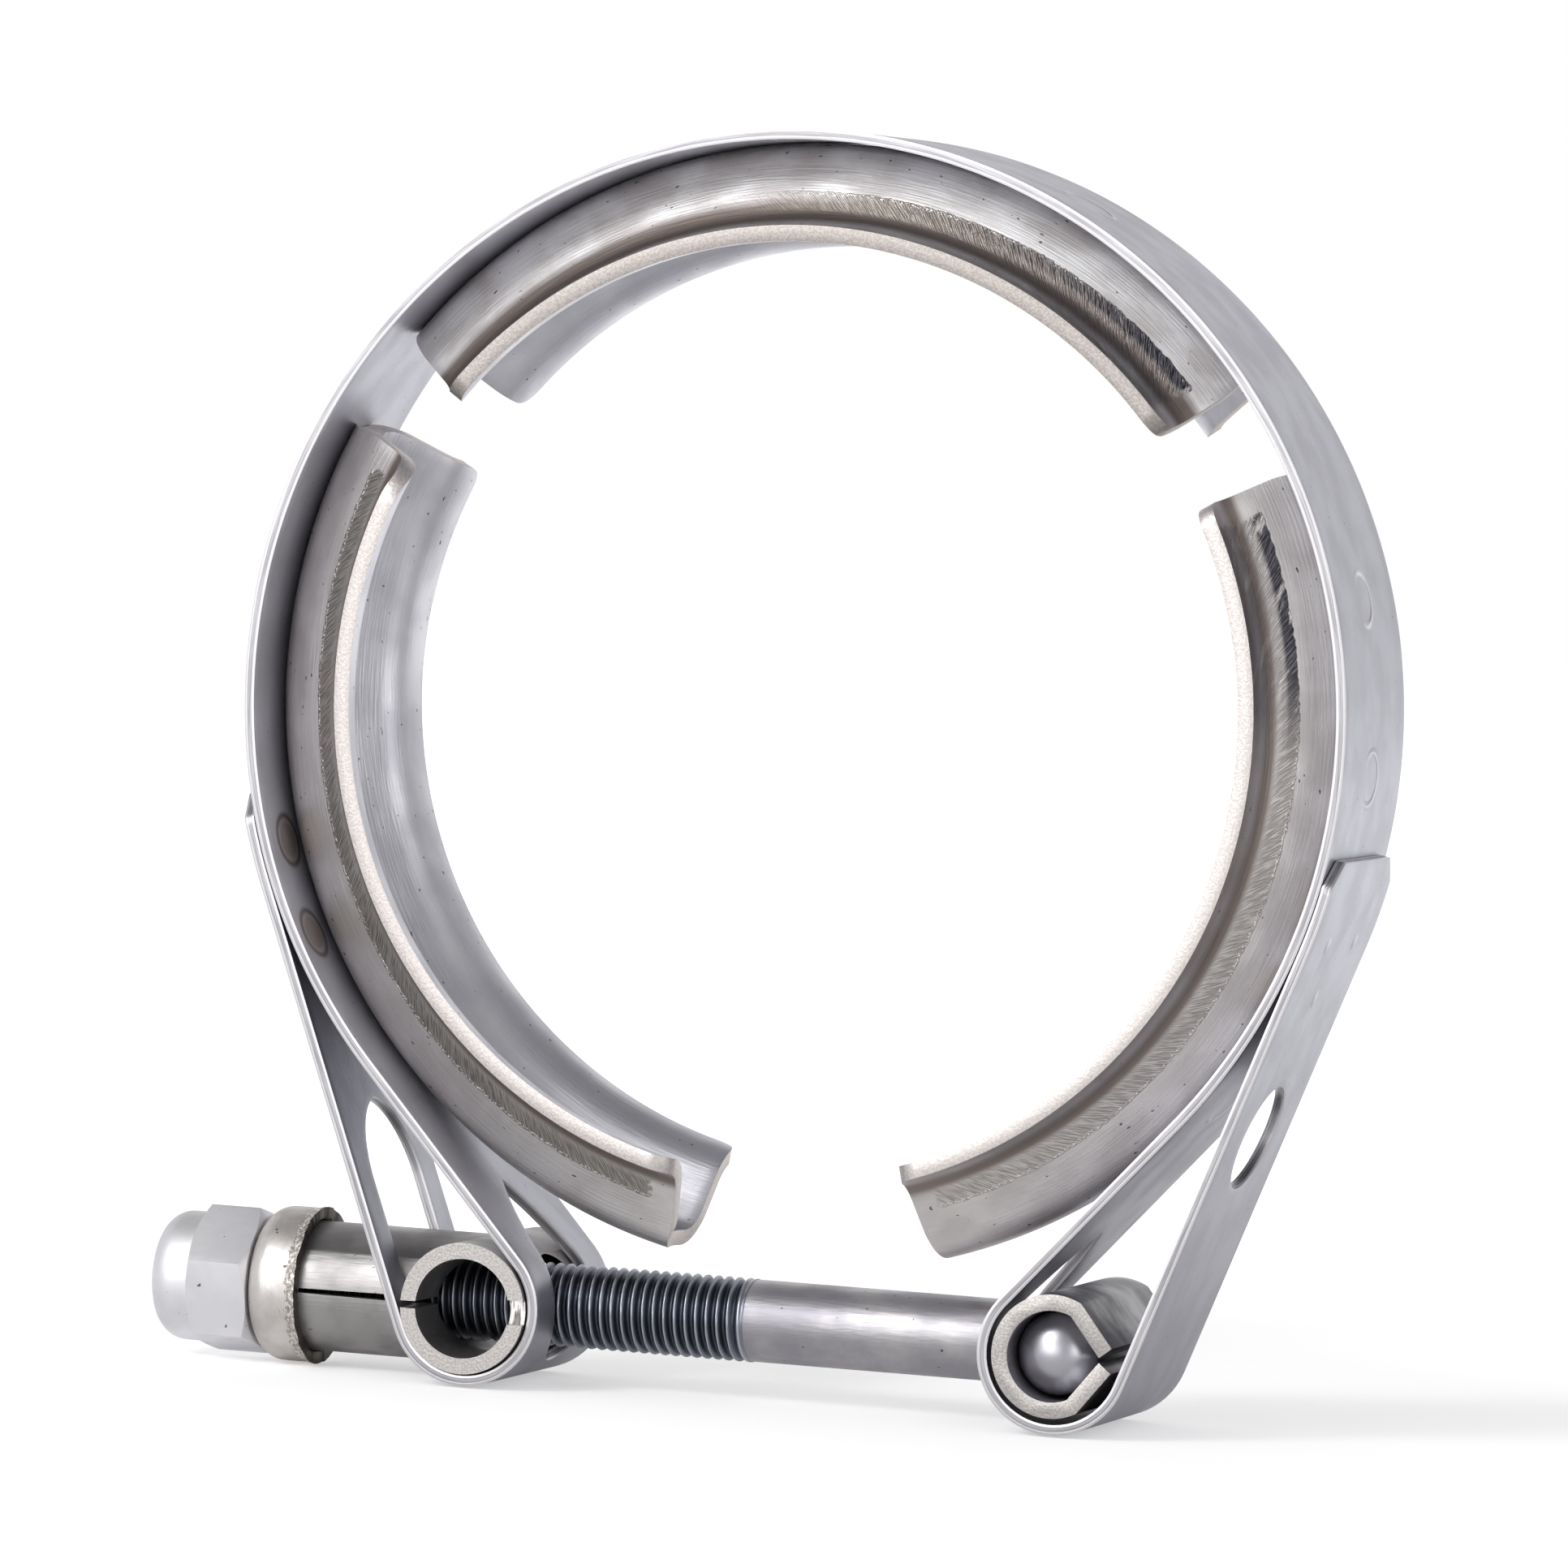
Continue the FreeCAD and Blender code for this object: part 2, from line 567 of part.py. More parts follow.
# T-head sleeve: a rolled sheet whose straight legs meet at a slit


def make_sleeve():
    body = new_body("bolt_trunnion")
    outer, wall = size("sleeve_radius"), size("sleeve_wall")
    inner = outer - wall
    start, slope = size("sleeve_start_angle"), size("sleeve_leg_angle")
    length = size("sleeve_leg_length")
    turn = math.radians(-slope)
    along = (math.cos(turn), math.sin(turn))
    shoulder = polar((0, 0), outer, start)
    nose = shoulder[0] + length * along[0], shoulder[1] + length * along[1]
    inner_nose = nose[0] + wall * along[1], nose[1] - wall * along[0]

    # The inside of a leg starts where its line meets the bore
    offset = along[0] * inner_nose[1] - along[1] * inner_nose[0]
    inner_start = math.degrees(math.acos(offset / inner)) + 90 - slope
    inner_shoulder = polar((0, 0), inner, inner_start)

    def flip(point):
        return point[0], -point[1]

    walk = [
        arc((0, 0), outer, start, 360 - start),
        line(flip(shoulder), flip(nose)),
        line(flip(nose), flip(inner_nose)),
        line(flip(inner_nose), flip(inner_shoulder)),
        arc((0, 0), inner, 360 - inner_start, inner_start),
        line(inner_shoulder, inner_nose),
        line(inner_nose, nose),
        line(nose, shoulder),
    ]
    sketch = new_sketch(body, "XZ_Plane", "sleeve_outline")
    curves = trace(sketch, walk, corners=tuple(range(len(walk))))
    fix(sketch, "Coincident", curves[0], 3, -1, 1)
    fix(sketch, "Coincident", curves[4], 3, -1, 1)
    hold(sketch, "Sizes.sleeve_radius", "Radius", curves[0], outer)
    hold(sketch, "Sizes.sleeve_radius - Sizes.sleeve_wall", "Radius", curves[4], inner)
    pad(body, sketch, "sleeve", "Sizes.trunnion_length", middle=True)
    hole = centred_circle(
        body, "YZ_Plane", "shank_hole_outline", "Sizes.shank_radius + Sizes.sleeve_hole",
        size("shank_radius") + size("sleeve_hole"),
    )
    pocket(body, hole, "shank_hole", "Sizes.sleeve_radius * 2")
    place(body, "Sizes.trunnion_spread / 2", f"-{DROP}")
    return body


# T-bolt: a bar with domed ends across a shank that is threaded towards the nut


def make_bolt():
    body = new_body("t_bolt")
    half, radius, dome = size("head_length") / 2, size("head_radius"), size("head_dome")
    ball = (radius * radius + dome * dome) / (2 * dome)
    centre = half - ball
    spread = math.degrees(math.asin(radius / ball))
    walk = [
        line((-half, 0), (half, 0)),
        arc((centre, 0), ball, 0, spread),
        line((half - dome, radius), (dome - half, radius)),
        arc((-centre, 0), ball, 180 - spread, 180),
    ]
    bar = new_sketch(body, "YZ_Plane", "head_outline")
    curves = trace(bar, walk, corners=(0, 1, 2, 3))
    fix(bar, "PointOnObject", curves[0], 1, -1)
    fix(bar, "PointOnObject", curves[1], 3, -1)
    fix(bar, "PointOnObject", curves[3], 3, -1)
    fix(bar, "PointOnObject", curves[0], 2, -1)
    hold(bar, "Sizes.head_length / 2", "DistanceX", -1, 1, curves[0], 2, half)
    hold(bar, "-Sizes.head_length / 2", "DistanceX", -1, 1, curves[0], 1, -half)
    hold(bar, "Sizes.head_radius", "DistanceY", -1, 1, curves[2], 1, radius)
    hold(bar, "Sizes.head_radius", "DistanceY", -1, 1, curves[2], 2, radius)
    hold(bar, "Sizes.head_length / 2 - Sizes.head_dome", "DistanceX", -1, 1, curves[2], 1, half - dome)
    hold(bar, "Sizes.head_dome - Sizes.head_length / 2", "DistanceX", -1, 1, curves[2], 2, dome - half)
    revolve(body, bar, "head", "H_Axis")
    shank = centred_circle(body, "YZ_Plane", "shank_outline", "Sizes.shank_radius", size("shank_radius"))
    pad(body, shank, "shank", "Sizes.thread_start", backwards=True)
    thread = centred_circle(body, "YZ_Plane", "thread_outline", "Sizes.thread_radius", size("thread_radius"))
    thread.AttachmentOffset = FreeCAD.Placement(Vector(0, 0, -size("thread_start")), FreeCAD.Rotation())
    thread.setExpression("AttachmentOffset.Base.z", "-Sizes.thread_start")
    pad(body, thread, "thread", "Sizes.bolt_length - Sizes.thread_start", backwards=True)
    doc.recompute()
    tip = [
        f"Edge{number}"
        for number, edge in enumerate(body.Shape.Edges, start=1)
        if abs(edge.CenterOfMass.x + size("bolt_length")) < 0.001
    ]
    dress(body, "PartDesign::Chamfer", "tip_chamfer", tip, "Size", "Sizes.bolt_tip")
    place(body, "Sizes.trunnion_spread / 2 - Sizes.head_set_back", f"-{DROP}")
    return body


# Cap: a drawn cup with a rounded shoulder, over the end of the nut trunnion's tube


def make_cap():
    body = new_body("tube_cap")
    wall, shoulder, length = size("cap_wall"), size("cap_shoulder"), size("cap_length")
    inner = size("nut_tube_radius") + size("cap_gap")
    outer = inner + wall
    hole = size("thread_radius") + size("cap_hole_gap")
    flare, flare_length = size("cap_flare"), size("cap_flare_length")
    neck = length - flare_length
    walk = [
        line((0, hole), (0, outer - shoulder)),
        arc((shoulder, outer - shoulder), shoulder, 180, 90),
        line((shoulder, outer), (neck, outer)),
        line((neck, outer), (length, outer + flare)),
        line((length, outer + flare), (length, inner + flare)),
        line((length, inner + flare), (neck, inner)),
        line((neck, inner), (shoulder, inner)),
        arc((shoulder, outer - shoulder), shoulder - wall, 90, 180),
        line((wall, outer - shoulder), (wall, hole)),
        line((wall, hole), (0, hole)),
    ]
    sketch = new_sketch(body, "XZ_Plane", "cap_section")
    curves = trace(sketch, walk, corners=(2, 3, 4, 5, 8, 9))
    fix(sketch, "Vertical", curves[0])
    fix(sketch, "Horizontal", curves[2])
    fix(sketch, "Vertical", curves[4])
    fix(sketch, "Horizontal", curves[9])
    fix(sketch, "PointOnObject", curves[0], 1, -2)
    fix(sketch, "Coincident", curves[1], 3, curves[7], 3)
    clear = "Sizes.nut_tube_radius + Sizes.cap_gap"
    hold(sketch, f"{clear} + Sizes.cap_wall", "DistanceY", -1, 1, curves[2], 1, outer)
    hold(sketch, "Sizes.cap_shoulder", "Radius", curves[1], shoulder)
    hold(sketch, "Sizes.cap_wall", "DistanceX", curves[9], 2, curves[9], 1, wall)
    hold(sketch, "Sizes.thread_radius + Sizes.cap_hole_gap", "DistanceY", -1, 1, curves[9], 1, hole)
    hold(sketch, "Sizes.cap_length", "DistanceX", -1, 1, curves[4], 1, length)
    hold(sketch, "Sizes.cap_flare_length", "DistanceX", curves[3], 1, curves[3], 2, flare_length)
    hold(sketch, "Sizes.cap_flare", "DistanceY", curves[3], 1, curves[3], 2, flare)
    hold(sketch, "Sizes.cap_wall", "DistanceY", curves[4], 2, curves[4], 1, wall)
    hold(sketch, "Sizes.cap_flare_length", "DistanceX", curves[5], 2, curves[5], 1, flare_length)
    revolve(body, sketch, "cap", "H_Axis")
    seat = "-Sizes.trunnion_spread / 2 - Sizes.nut_tube_length - Sizes.cap_seat - Sizes.cap_wall"
    place(body, seat, f"-{DROP}")
    return body


# Lock nut: a chamfered hexagon with a domed locking collar


def make_nut():
    body = new_body("lock_nut")
    corner = size("nut_flats") / math.sqrt(3)
    hexagon = new_sketch(body, "YZ_Plane", "hexagon_outline")
    turn = 180 - size("nut_turn_angle")
    points = [polar((0, 0), corner, turn + 60 * step) for step in range(6)]
    walk = [line(points[step], points[(step + 1) % 6]) for step in range(6)]
    curves = trace(hexagon, walk, corners=tuple(range(6)))
    circle = hexagon.addGeometry(Part.Circle(Vector(), Vector(0, 0, 1), corner), True)
    fix(hexagon, "Coincident", circle, 3, -1, 1)
    for step in range(6):
        fix(hexagon, "PointOnObject", curves[step], 1, circle)
        if step:
            fix(hexagon, "Equal", curves[0], curves[step])
    hold(hexagon, "Sizes.nut_flats / sqrt(3)", "Radius", circle, corner)
    slope = math.radians(turn + 120)
    hold(hexagon, "Sizes.nut_turn_angle * -1 deg + 300 deg", "Angle", curves[0], slope)
    pad(body, hexagon, "hexagon", "Sizes.nut_hex", backwards=True)

    collar = new_sketch(body, "XZ_Plane", "collar_section")
    start, end = -size("nut_hex"), -size("nut_hex") - size("nut_collar")
    radius, crown, mouth = size("nut_collar_radius"), size("nut_crown"), size("nut_mouth")
    rim = radius - crown
    walk = [
        line((start, 0), (start, radius)),
        line((start, radius), (end + crown, radius)),
        arc((end + crown, rim), crown, 90, 180),
        line((end, rim), (end, 0)),
        line((end, 0), (start, 0)),
    ]
    curves = trace(collar, walk, corners=(0, 2, 3, 4))
    fix(collar, "Vertical", curves[0])
    fix(collar, "Horizontal", curves[1])
    fix(collar, "Vertical", curves[3])
    fix(collar, "PointOnObject", curves[4], 1, -1)
    fix(collar, "PointOnObject", curves[4], 2, -1)
    fix(collar, "Horizontal", curves[2], 3, curves[2], 2)
    hold(collar, "-Sizes.nut_hex", "DistanceX", -1, 1, curves[0], 1, start)
    hold(collar, "-Sizes.nut_hex - Sizes.nut_collar", "DistanceX", -1, 1, curves[3], 1, end)
    hold(collar, "Sizes.nut_collar_radius", "DistanceY", -1, 1, curves[1], 1, radius)
    hold(collar, "Sizes.nut_crown", "Radius", curves[2], crown)
    revolve(body, collar, "collar", "H_Axis")

    # Turning away the corners of the hexagon at both ends
    for name, face, inward in (("seat_chamfer", 0.0, -1), ("crown_chamfer", start, 1)):
        doc.recompute()
        sketch = new_sketch(body, "XZ_Plane", name + "_section")
        flat, high = size("nut_flats") / 2, size("nut_flats")
        depth = (high - flat) * math.tan(math.radians(size("nut_chamfer_angle")))
        walk = [
            line((face, flat), (face, high)),
            line((face, high), (face + inward * depth, high)),
            line((face + inward * depth, high), (face, flat)),
        ]
        trace(sketch, walk, corners=(0, 1, 2))
        revolve(body, sketch, name, "H_Axis", "PartDesign::Groove")
    bore = centred_circle(
        body, "YZ_Plane", "nut_bore_outline", "Sizes.thread_radius + Sizes.thread_gap",
        size("thread_radius") + size("thread_gap"),
    )
    pocket(body, bore, "nut_bore", "(Sizes.nut_hex + Sizes.nut_collar) * 3", middle=True)
    cap_end = "Sizes.trunnion_spread / 2 + Sizes.nut_tube_length + Sizes.cap_seat + Sizes.cap_wall"
    place(body, f"-({cap_end}) - Sizes.seat_gap", f"-{DROP}")
    return body


bodies = [
    make_strap(),
    make_retainer("retainer_top", "top_span_angle", "0"),
    make_retainer("retainer_left", "left_span_angle", "-Sizes.left_turn_angle"),
    make_retainer("retainer_right", "right_span_angle", "Sizes.right_turn_angle"),
    make_nut_trunnion(),
    make_sleeve(),
    make_bolt(),
    make_cap(),
    make_nut(),
]
doc.recompute()
check_document()

os.makedirs("parts", exist_ok=True)
for body in bodies:
    shape = body.Shape
    if shape.isNull() or not shape.isValid() or len(shape.Solids) != 1:
        raise RuntimeError(f"{body.Label} isn't one valid solid")
    shape.exportStep(f"parts/{body.Label}.step")
    print(f"{body.Label}: {shape.Volume:.1f} cubic mm")
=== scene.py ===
# %% [markdown]
# V-band clamp. A clamp like this holds two pipe flanges together on an engine: a sprung strap of
# stainless sheet carries three V-shaped retainers, and a T-bolt with a lock nut draws them tight.
# The CAD model fixes every size and place. This script only gives the pieces their finish, so it
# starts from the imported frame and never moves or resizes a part.

# %% Load the frame
import math

import bmesh
import bpy
import numpy as np
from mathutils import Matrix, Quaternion, Vector, geometry, noise


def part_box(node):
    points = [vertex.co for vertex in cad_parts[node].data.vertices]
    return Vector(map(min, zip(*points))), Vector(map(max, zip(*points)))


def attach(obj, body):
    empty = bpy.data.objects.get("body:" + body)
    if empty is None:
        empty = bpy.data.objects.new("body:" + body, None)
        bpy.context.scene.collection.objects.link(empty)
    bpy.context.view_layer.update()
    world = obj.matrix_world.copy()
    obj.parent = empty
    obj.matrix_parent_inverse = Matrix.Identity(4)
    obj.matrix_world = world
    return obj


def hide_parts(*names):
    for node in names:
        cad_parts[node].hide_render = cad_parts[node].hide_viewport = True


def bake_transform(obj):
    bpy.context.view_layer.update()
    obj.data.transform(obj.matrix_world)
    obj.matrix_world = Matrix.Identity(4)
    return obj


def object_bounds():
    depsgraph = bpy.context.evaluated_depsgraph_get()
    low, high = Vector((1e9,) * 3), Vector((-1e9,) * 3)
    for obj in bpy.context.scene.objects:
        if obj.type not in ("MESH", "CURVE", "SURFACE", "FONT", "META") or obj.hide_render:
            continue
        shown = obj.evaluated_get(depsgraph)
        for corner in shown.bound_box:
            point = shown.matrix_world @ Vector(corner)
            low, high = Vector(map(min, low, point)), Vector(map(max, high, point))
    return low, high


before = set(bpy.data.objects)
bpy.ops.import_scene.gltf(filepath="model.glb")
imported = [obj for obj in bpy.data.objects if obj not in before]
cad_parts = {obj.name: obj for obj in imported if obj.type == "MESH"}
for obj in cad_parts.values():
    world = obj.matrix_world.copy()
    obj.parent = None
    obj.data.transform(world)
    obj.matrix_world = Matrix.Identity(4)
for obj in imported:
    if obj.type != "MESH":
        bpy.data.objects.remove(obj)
cad_low, cad_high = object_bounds()
print("CAD box in mm:", [round(v * 1000, 2) for v in (*cad_low, *cad_high)])

# %% [markdown]
# Sizes. Drawings of such clamps are in millimetres and Blender works in metres, so every length below
# is written in millimetres and turned into metres in one place, when a mesh is made. What the frame
# knows is read from it: the ring, the loops, the bolt's height. The rest repeats the drawing.

# %% Driving sizes
MM = 0.001


def box_mm(part):
    """The lowest and the highest corner of a part, in millimetres."""
    return [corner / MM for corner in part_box(part)]


strap_low, strap_high = box_mm("strap")
bolt_low, bolt_high = box_mm("t_bolt")
cap_low, cap_high = box_mm("tube_cap")
nut_low, nut_high = box_mm("lock_nut")
TUBE_END = box_mm("nut_trunnion")[0].x

SHEET = 0.95
STRAP_RADIUS = strap_high.z
STRAP_WIDTH = strap_high.y - strap_low.y
BOLT_Z = (bolt_low.z + bolt_high.z) / 2
LOOP_RADIUS = BOLT_Z - strap_low.z - SHEET
LOOP_X = 29.0
CROSS_HALF = 10.8
print("ring", STRAP_RADIUS, "width", STRAP_WIDTH, "bolt height", BOLT_Z, "loop", LOOP_RADIUS)

# %% [markdown]
# Small helpers. One turns a list of corners and faces into an object. One applies whatever modifiers
# are on an object, because every finished piece has to be a plain mesh. One rounds the sharp edges,
# because no real edge is perfectly sharp, and a thin bright line along each edge is what makes metal
# look like metal. One gives a finished piece its place among the parts.


# %% Mesh helpers
SHARP = math.radians(50)


def put(name, data):
    """A new object in the scene."""
    item = bpy.data.objects.new(name, data)
    bpy.context.scene.collection.objects.link(item)
    return item


def mesh_object(name, corners, faces):
    """An object from corners in millimetres. Its faces are smooth."""
    mesh = bpy.data.meshes.new(name)
    mesh.from_pydata([Vector(corner) * MM for corner in corners], [], faces)
    mesh.validate()
    mesh.shade_smooth()
    return put(name, mesh)


def bake_modifiers(item):
    """Turn an object with modifiers into a plain mesh."""
    graph = bpy.context.evaluated_depsgraph_get()
    graph.update()
    mesh = bpy.data.meshes.new_from_object(item.evaluated_get(graph))
    item.modifiers.clear()
    item.data = mesh
    return item


def outward(item):
    """Make every face of a closed mesh point outwards."""
    shape = bmesh.new()
    shape.from_mesh(item.data)
    bmesh.ops.recalc_face_normals(shape, faces=shape.faces)
    shape.to_mesh(item.data)
    shape.free()
    return item


def smooth(item):
    """Smooth shading that breaks at the sharp edges."""
    item.data.shade_smooth()
    item.data.set_sharp_from_angle(angle=SHARP)
    return item


def round_edges(item, width, segments=2, angle=35):
    """Round the edges that are sharper than the angle, by a width in millimetres."""
    bevel = item.modifiers.new("round", "BEVEL")
    bevel.width = width * MM
    bevel.segments = segments
    bevel.limit_method = "ANGLE"
    bevel.angle_limit = math.radians(angle)
    bevel.miter_outer = "MITER_ARC"
    return smooth(bake_modifiers(item))


def combine(item, other, operation):
    """Cut another solid out of a solid, add it or keep what they share. The other one is used up."""
    boolean = item.modifiers.new("combine", "BOOLEAN")
    boolean.operation = operation
    boolean.solver = "EXACT"
    boolean.object = other
    bake_modifiers(item)
    bpy.data.objects.remove(other)
    return item


def count_triangles(item):
    item.data.calc_loop_triangles()
    print(item.name, "triangles:", len(item.data.loop_triangles))


def take_place(item, part, body):
    """Let a finished piece stand for a part and on the body that carries it."""
    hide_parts(part)
    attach(item, body)
    count_triangles(item)


# %% [markdown]
# Two basic solids. A turned or drawn piece is a profile carried round an axis. The profile is a list of
# points, each a distance along the axis and a radius, and a point on the axis closes the shape. A piece
# with straight sides joins two outlines. Most other shapes are these two, added and cut.


# %% Basic solids
def lathe(name, profile, axis, centre, steps=128, ripple=None):
    """Carry a closed profile of (along, radius) points round the X or Y axis through a centre. ripple
    may give what to add to a point's place along the axis and to its radius at each turn."""
    corners, rings = [], []
    for number, (along, radius) in enumerate(profile):
        ring = []
        for step in range(steps if radius > 0 else 1):
            turn = 2 * math.pi * step / steps
            shift, swell = ripple(number, turn) if ripple else (0, 0)
            side, high = (radius + swell) * math.cos(turn), (radius + swell) * math.sin(turn)
            place = (along + shift, side, high) if axis == "X" else (side, along + shift, high)
            ring.append(len(corners))
            corners.append(Vector(centre) + Vector(place))
        rings.append(ring)
    faces = []
    for here, there in zip(rings, rings[1:] + rings[:1]):
        if len(here) == 1 and len(there) == 1:
            continue
        for step in range(steps):
            after = (step + 1) % steps
            square = [here[step % len(here)], here[after % len(here)]]
            square += [there[after % len(there)], there[step % len(there)]]
            faces.append(list(dict.fromkeys(square)))
    return outward(mesh_object(name, corners, faces))


def rod(name, axis, radius, start, end, centre):
    """A plain solid rod, mostly used to cut with."""
    return lathe(name, [(start, 0), (start, radius), (end, radius), (end, 0)], axis, centre)


def prism(name, first, last):
    """Straight sides between two outlines that have the same number of corners."""
    count = len(first)
    sides = [[n, (n + 1) % count, (n + 1) % count + count, n + count] for n in range(count)]
    ends = [list(range(count)), [n + count for n in reversed(range(count))]]
    return outward(mesh_object(name, [*first, *last], sides + ends))


def block(name, low, high, taper=1.0):
    """A box between two corners, to cut with. At its low x end it may be less high."""
    middle, half = (low[2] + high[2]) / 2, (high[2] - low[2]) / 2
    corners = ((low[1], -half), (high[1], -half), (high[1], half), (low[1], half))
    first = [(low[0], y, middle + z * taper) for y, z in corners]
    return prism(name, first, [(high[0], y, middle + z) for y, z in corners])


def polar(centre, radius, angle):
    turn = math.radians(angle)
    return (centre[0] + radius * math.cos(turn), centre[1] + radius * math.sin(turn))


def arc_points(centre, radius, start, end, steps):
    """Points along an arc, from one angle to the other in degrees."""
    return [polar(centre, radius, start + (end - start) * step / steps) for step in range(steps + 1)]


# %% [markdown]
# The camera stands where the photograph was taken from: a little to the right of the clamp's axis,
# almost level, with a long lens, and held slightly askew.

# %% Camera
# Millimetres and degrees, and the focal length over the photo's width, both in pixels
CAMERA_AIM = Vector((-3.47, 0.0, -7.60))
CAMERA_DISTANCE = 916.8
CAMERA_AZIMUTH = 18.54
CAMERA_ELEVATION = 2.56
CAMERA_ROLL = 2.73
LENS_PER_FRAME = 12011.7 / 1932
SENSOR = 36
PHOTO_SHIFT = (0.0021, 0.0019)


def arrow(azimuth, elevation):
    """The direction from the clamp to the front, turned to the right and up."""
    turn, rise = math.radians(azimuth), math.radians(elevation)
    return Vector((math.sin(turn) * math.cos(rise), -math.cos(turn) * math.cos(rise), math.sin(rise)))


def stand(item, place, away):
    """Put the camera or a lamp at a place, so that it looks back along the arrow away."""
    item.location = place
    item.rotation_mode = "QUATERNION"
    item.rotation_quaternion = (-away).to_track_quat("-Z", "Y")


def make_camera():
    data = bpy.data.cameras.new("camera")
    data.sensor_width = SENSOR
    data.lens = SENSOR * LENS_PER_FRAME
    data.shift_x, data.shift_y = PHOTO_SHIFT
    data.clip_start, data.clip_end = 0.05, 20
    camera = put("camera", data)
    away = arrow(CAMERA_AZIMUTH, CAMERA_ELEVATION)
    stand(camera, (CAMERA_AIM + away * CAMERA_DISTANCE) * MM, away)
    camera.rotation_quaternion @= Quaternion((0, 0, 1), math.radians(CAMERA_ROLL))
    bpy.context.scene.camera = camera
    print("camera at", [round(v, 3) for v in camera.location])


make_camera()

# %% [markdown]
# Materials are built from nodes. One function adds a node with its settings and links, and one turns
# the hex colours that people use on screens into the linear values that light adds up in.


# %% Material helpers
def linear(hexed):
    """A colour such as b8bcc2, as linear red, green, blue and alpha."""
    parts = [int(hexed[index : index + 2], 16) / 255 for index in (0, 2, 4)]
    return [p / 12.92 if p <= 0.04045 else ((p + 0.055) / 1.055) ** 2.4 for p in parts] + [1.0]


def add(tree, kind, sockets=(), **settings):
    """Add a node. Its sockets, in order or by name, each get a value, a node or one of its outputs."""
    node = tree.nodes.new(kind)
    for name, value in settings.items():
        setattr(node, name, value)
    for name, value in sockets.items() if isinstance(sockets, dict) else enumerate(sockets):
        if isinstance(value, bpy.types.Node):
            value = value.outputs[0]
        if isinstance(value, bpy.types.NodeSocket):
            tree.links.new(value, node.inputs[name])
        else:
            node.inputs[name].default_value = value
    return node


def new_tree(name):
    """An empty material and its tree."""
    material = bpy.data.materials.new(name)
    material.use_nodes = True
    material.node_tree.nodes.clear()
    return material, material.node_tree


def dress(item, material):
    item.data.materials.clear()
    item.data.materials.append(material)
    return item


# %% [markdown]
# A finish is a colour, a roughness and a height. Bare steel comes first, and then marks are laid over
# it one by one, each where its own mask is 1: a sheared edge, a ground stripe, the rim of a spot
# weld. All patterns are drawn in millimetres, so a number in a pattern is a size on the clamp. The
# grain of real sheet is too fine to show, so it is drawn a few times coarser than it is.


# %% Finish in layers
def lay(tree, under, mask, **over):
    """Lay a colour, roughness or height over a finish where the mask is 1."""
    mixed = dict(under)
    for name, value in over.items():
        kind, first, second, out = ("RGBA", 6, 7, 2) if name == "colour" else ("FLOAT", 2, 3, 0)
        sockets = {0: mask, first: under[name], second: value}
        mixed[name] = add(tree, "ShaderNodeMix", sockets, data_type=kind).outputs[out]
    return mixed


def where(tree, *marks):
    """A mask that is 1 where all its marks are 1. A mark is a mask, a strength, or a soft step: a value,
    then where the step is 0 and where it is 1."""
    mask = None
    for mark in marks:
        if isinstance(mark, tuple):
            step = dict(zip(("Value", "From Min", "From Max"), mark))
            mark = add(tree, "ShaderNodeMapRange", step, interpolation_type="SMOOTHSTEP")
        both = [mask, mark]
        mask = mark if mask is None else add(tree, "ShaderNodeMath", both, operation="MULTIPLY")
    return mask


def streaks(tree, place, sizes, turn=0.0, detail=3.0):
    """Noise whose blotches have these sizes in millimetres, turned in the sheet."""
    turned = add(tree, "ShaderNodeMapping", {"Vector": place, "Rotation": (0, 0, math.radians(turn))})
    scale = [1 / size for size in sizes]
    scaled = add(tree, "ShaderNodeMapping", {"Vector": turned, "Scale": scale})
    return add(tree, "ShaderNodeTexNoise", {"Vector": scaled, "Scale": 1.0, "Detail": detail})


def mottled(tree, tones, ridges, colours, rough, heights):
    """A finish of two colours and two heights: the second ones, and the first ones where the masks
    called tones and ridges are 1."""
    steel = {"colour": linear(colours[1]), "rough": rough, "height": heights[1]}
    steel = lay(tree, steel, tones, colour=linear(colours[0]))
    return lay(tree, steel, ridges, height=heights[0])


def bare_steel(tree, place, pale, dark, rough, grain):
    """Rolled or drawn steel: a fine grain, cloudy smudges 6 mm wide and a few small dark specks."""
    clouds = where(tree, (streaks(tree, place, (6, 4, 6), detail=5.0), 0.34, 0.66))
    lines = where(tree, (streaks(tree, place, grain), 0.3, 0.7))
    specks = where(tree, (streaks(tree, place, (0.5, 0.3, 0.5), detail=0.0), 0.83, 0.86))
    steel = {"colour": linear(dark), "rough": rough + 0.06, "height": 0.0}
    steel = lay(tree, steel, clouds, colour=linear(pale), rough=rough)
    steel = lay(tree, steel, lines, height=0.2)
    return lay(tree, steel, specks, colour=linear("746a64"), height=0.05)


def sheared_edge(tree, steel, place, cut, colours):
    """The cut edge of a thick sheet. Shearing tears the metal, so it is pale, rough and mottled."""
    grit = streaks(tree, place, (0.24, 0.24, 0.24))
    tones, ridges = where(tree, (grit, 0.38, 0.62)), where(tree, (grit, 0.3, 0.7))
    return lay(tree, steel, cut, **mottled(tree, tones, ridges, colours, 0.48, (0.6, 0.4)))


def finish(material, tree, steel, relief_mm):
    """The metal shader. Height 1 stands relief_mm above height 0."""
    relief = {"Height": steel["height"], "Strength": 1.0, "Distance": relief_mm * MM}
    look = {"Base Color": steel["colour"], "Metallic": 1.0, "Roughness": steel["rough"]}
    look["Normal"] = add(tree, "ShaderNodeBump", relief)
    add(tree, "ShaderNodeOutputMaterial", {"Surface": add(tree, "ShaderNodeBsdfPrincipled", look)})
    return material


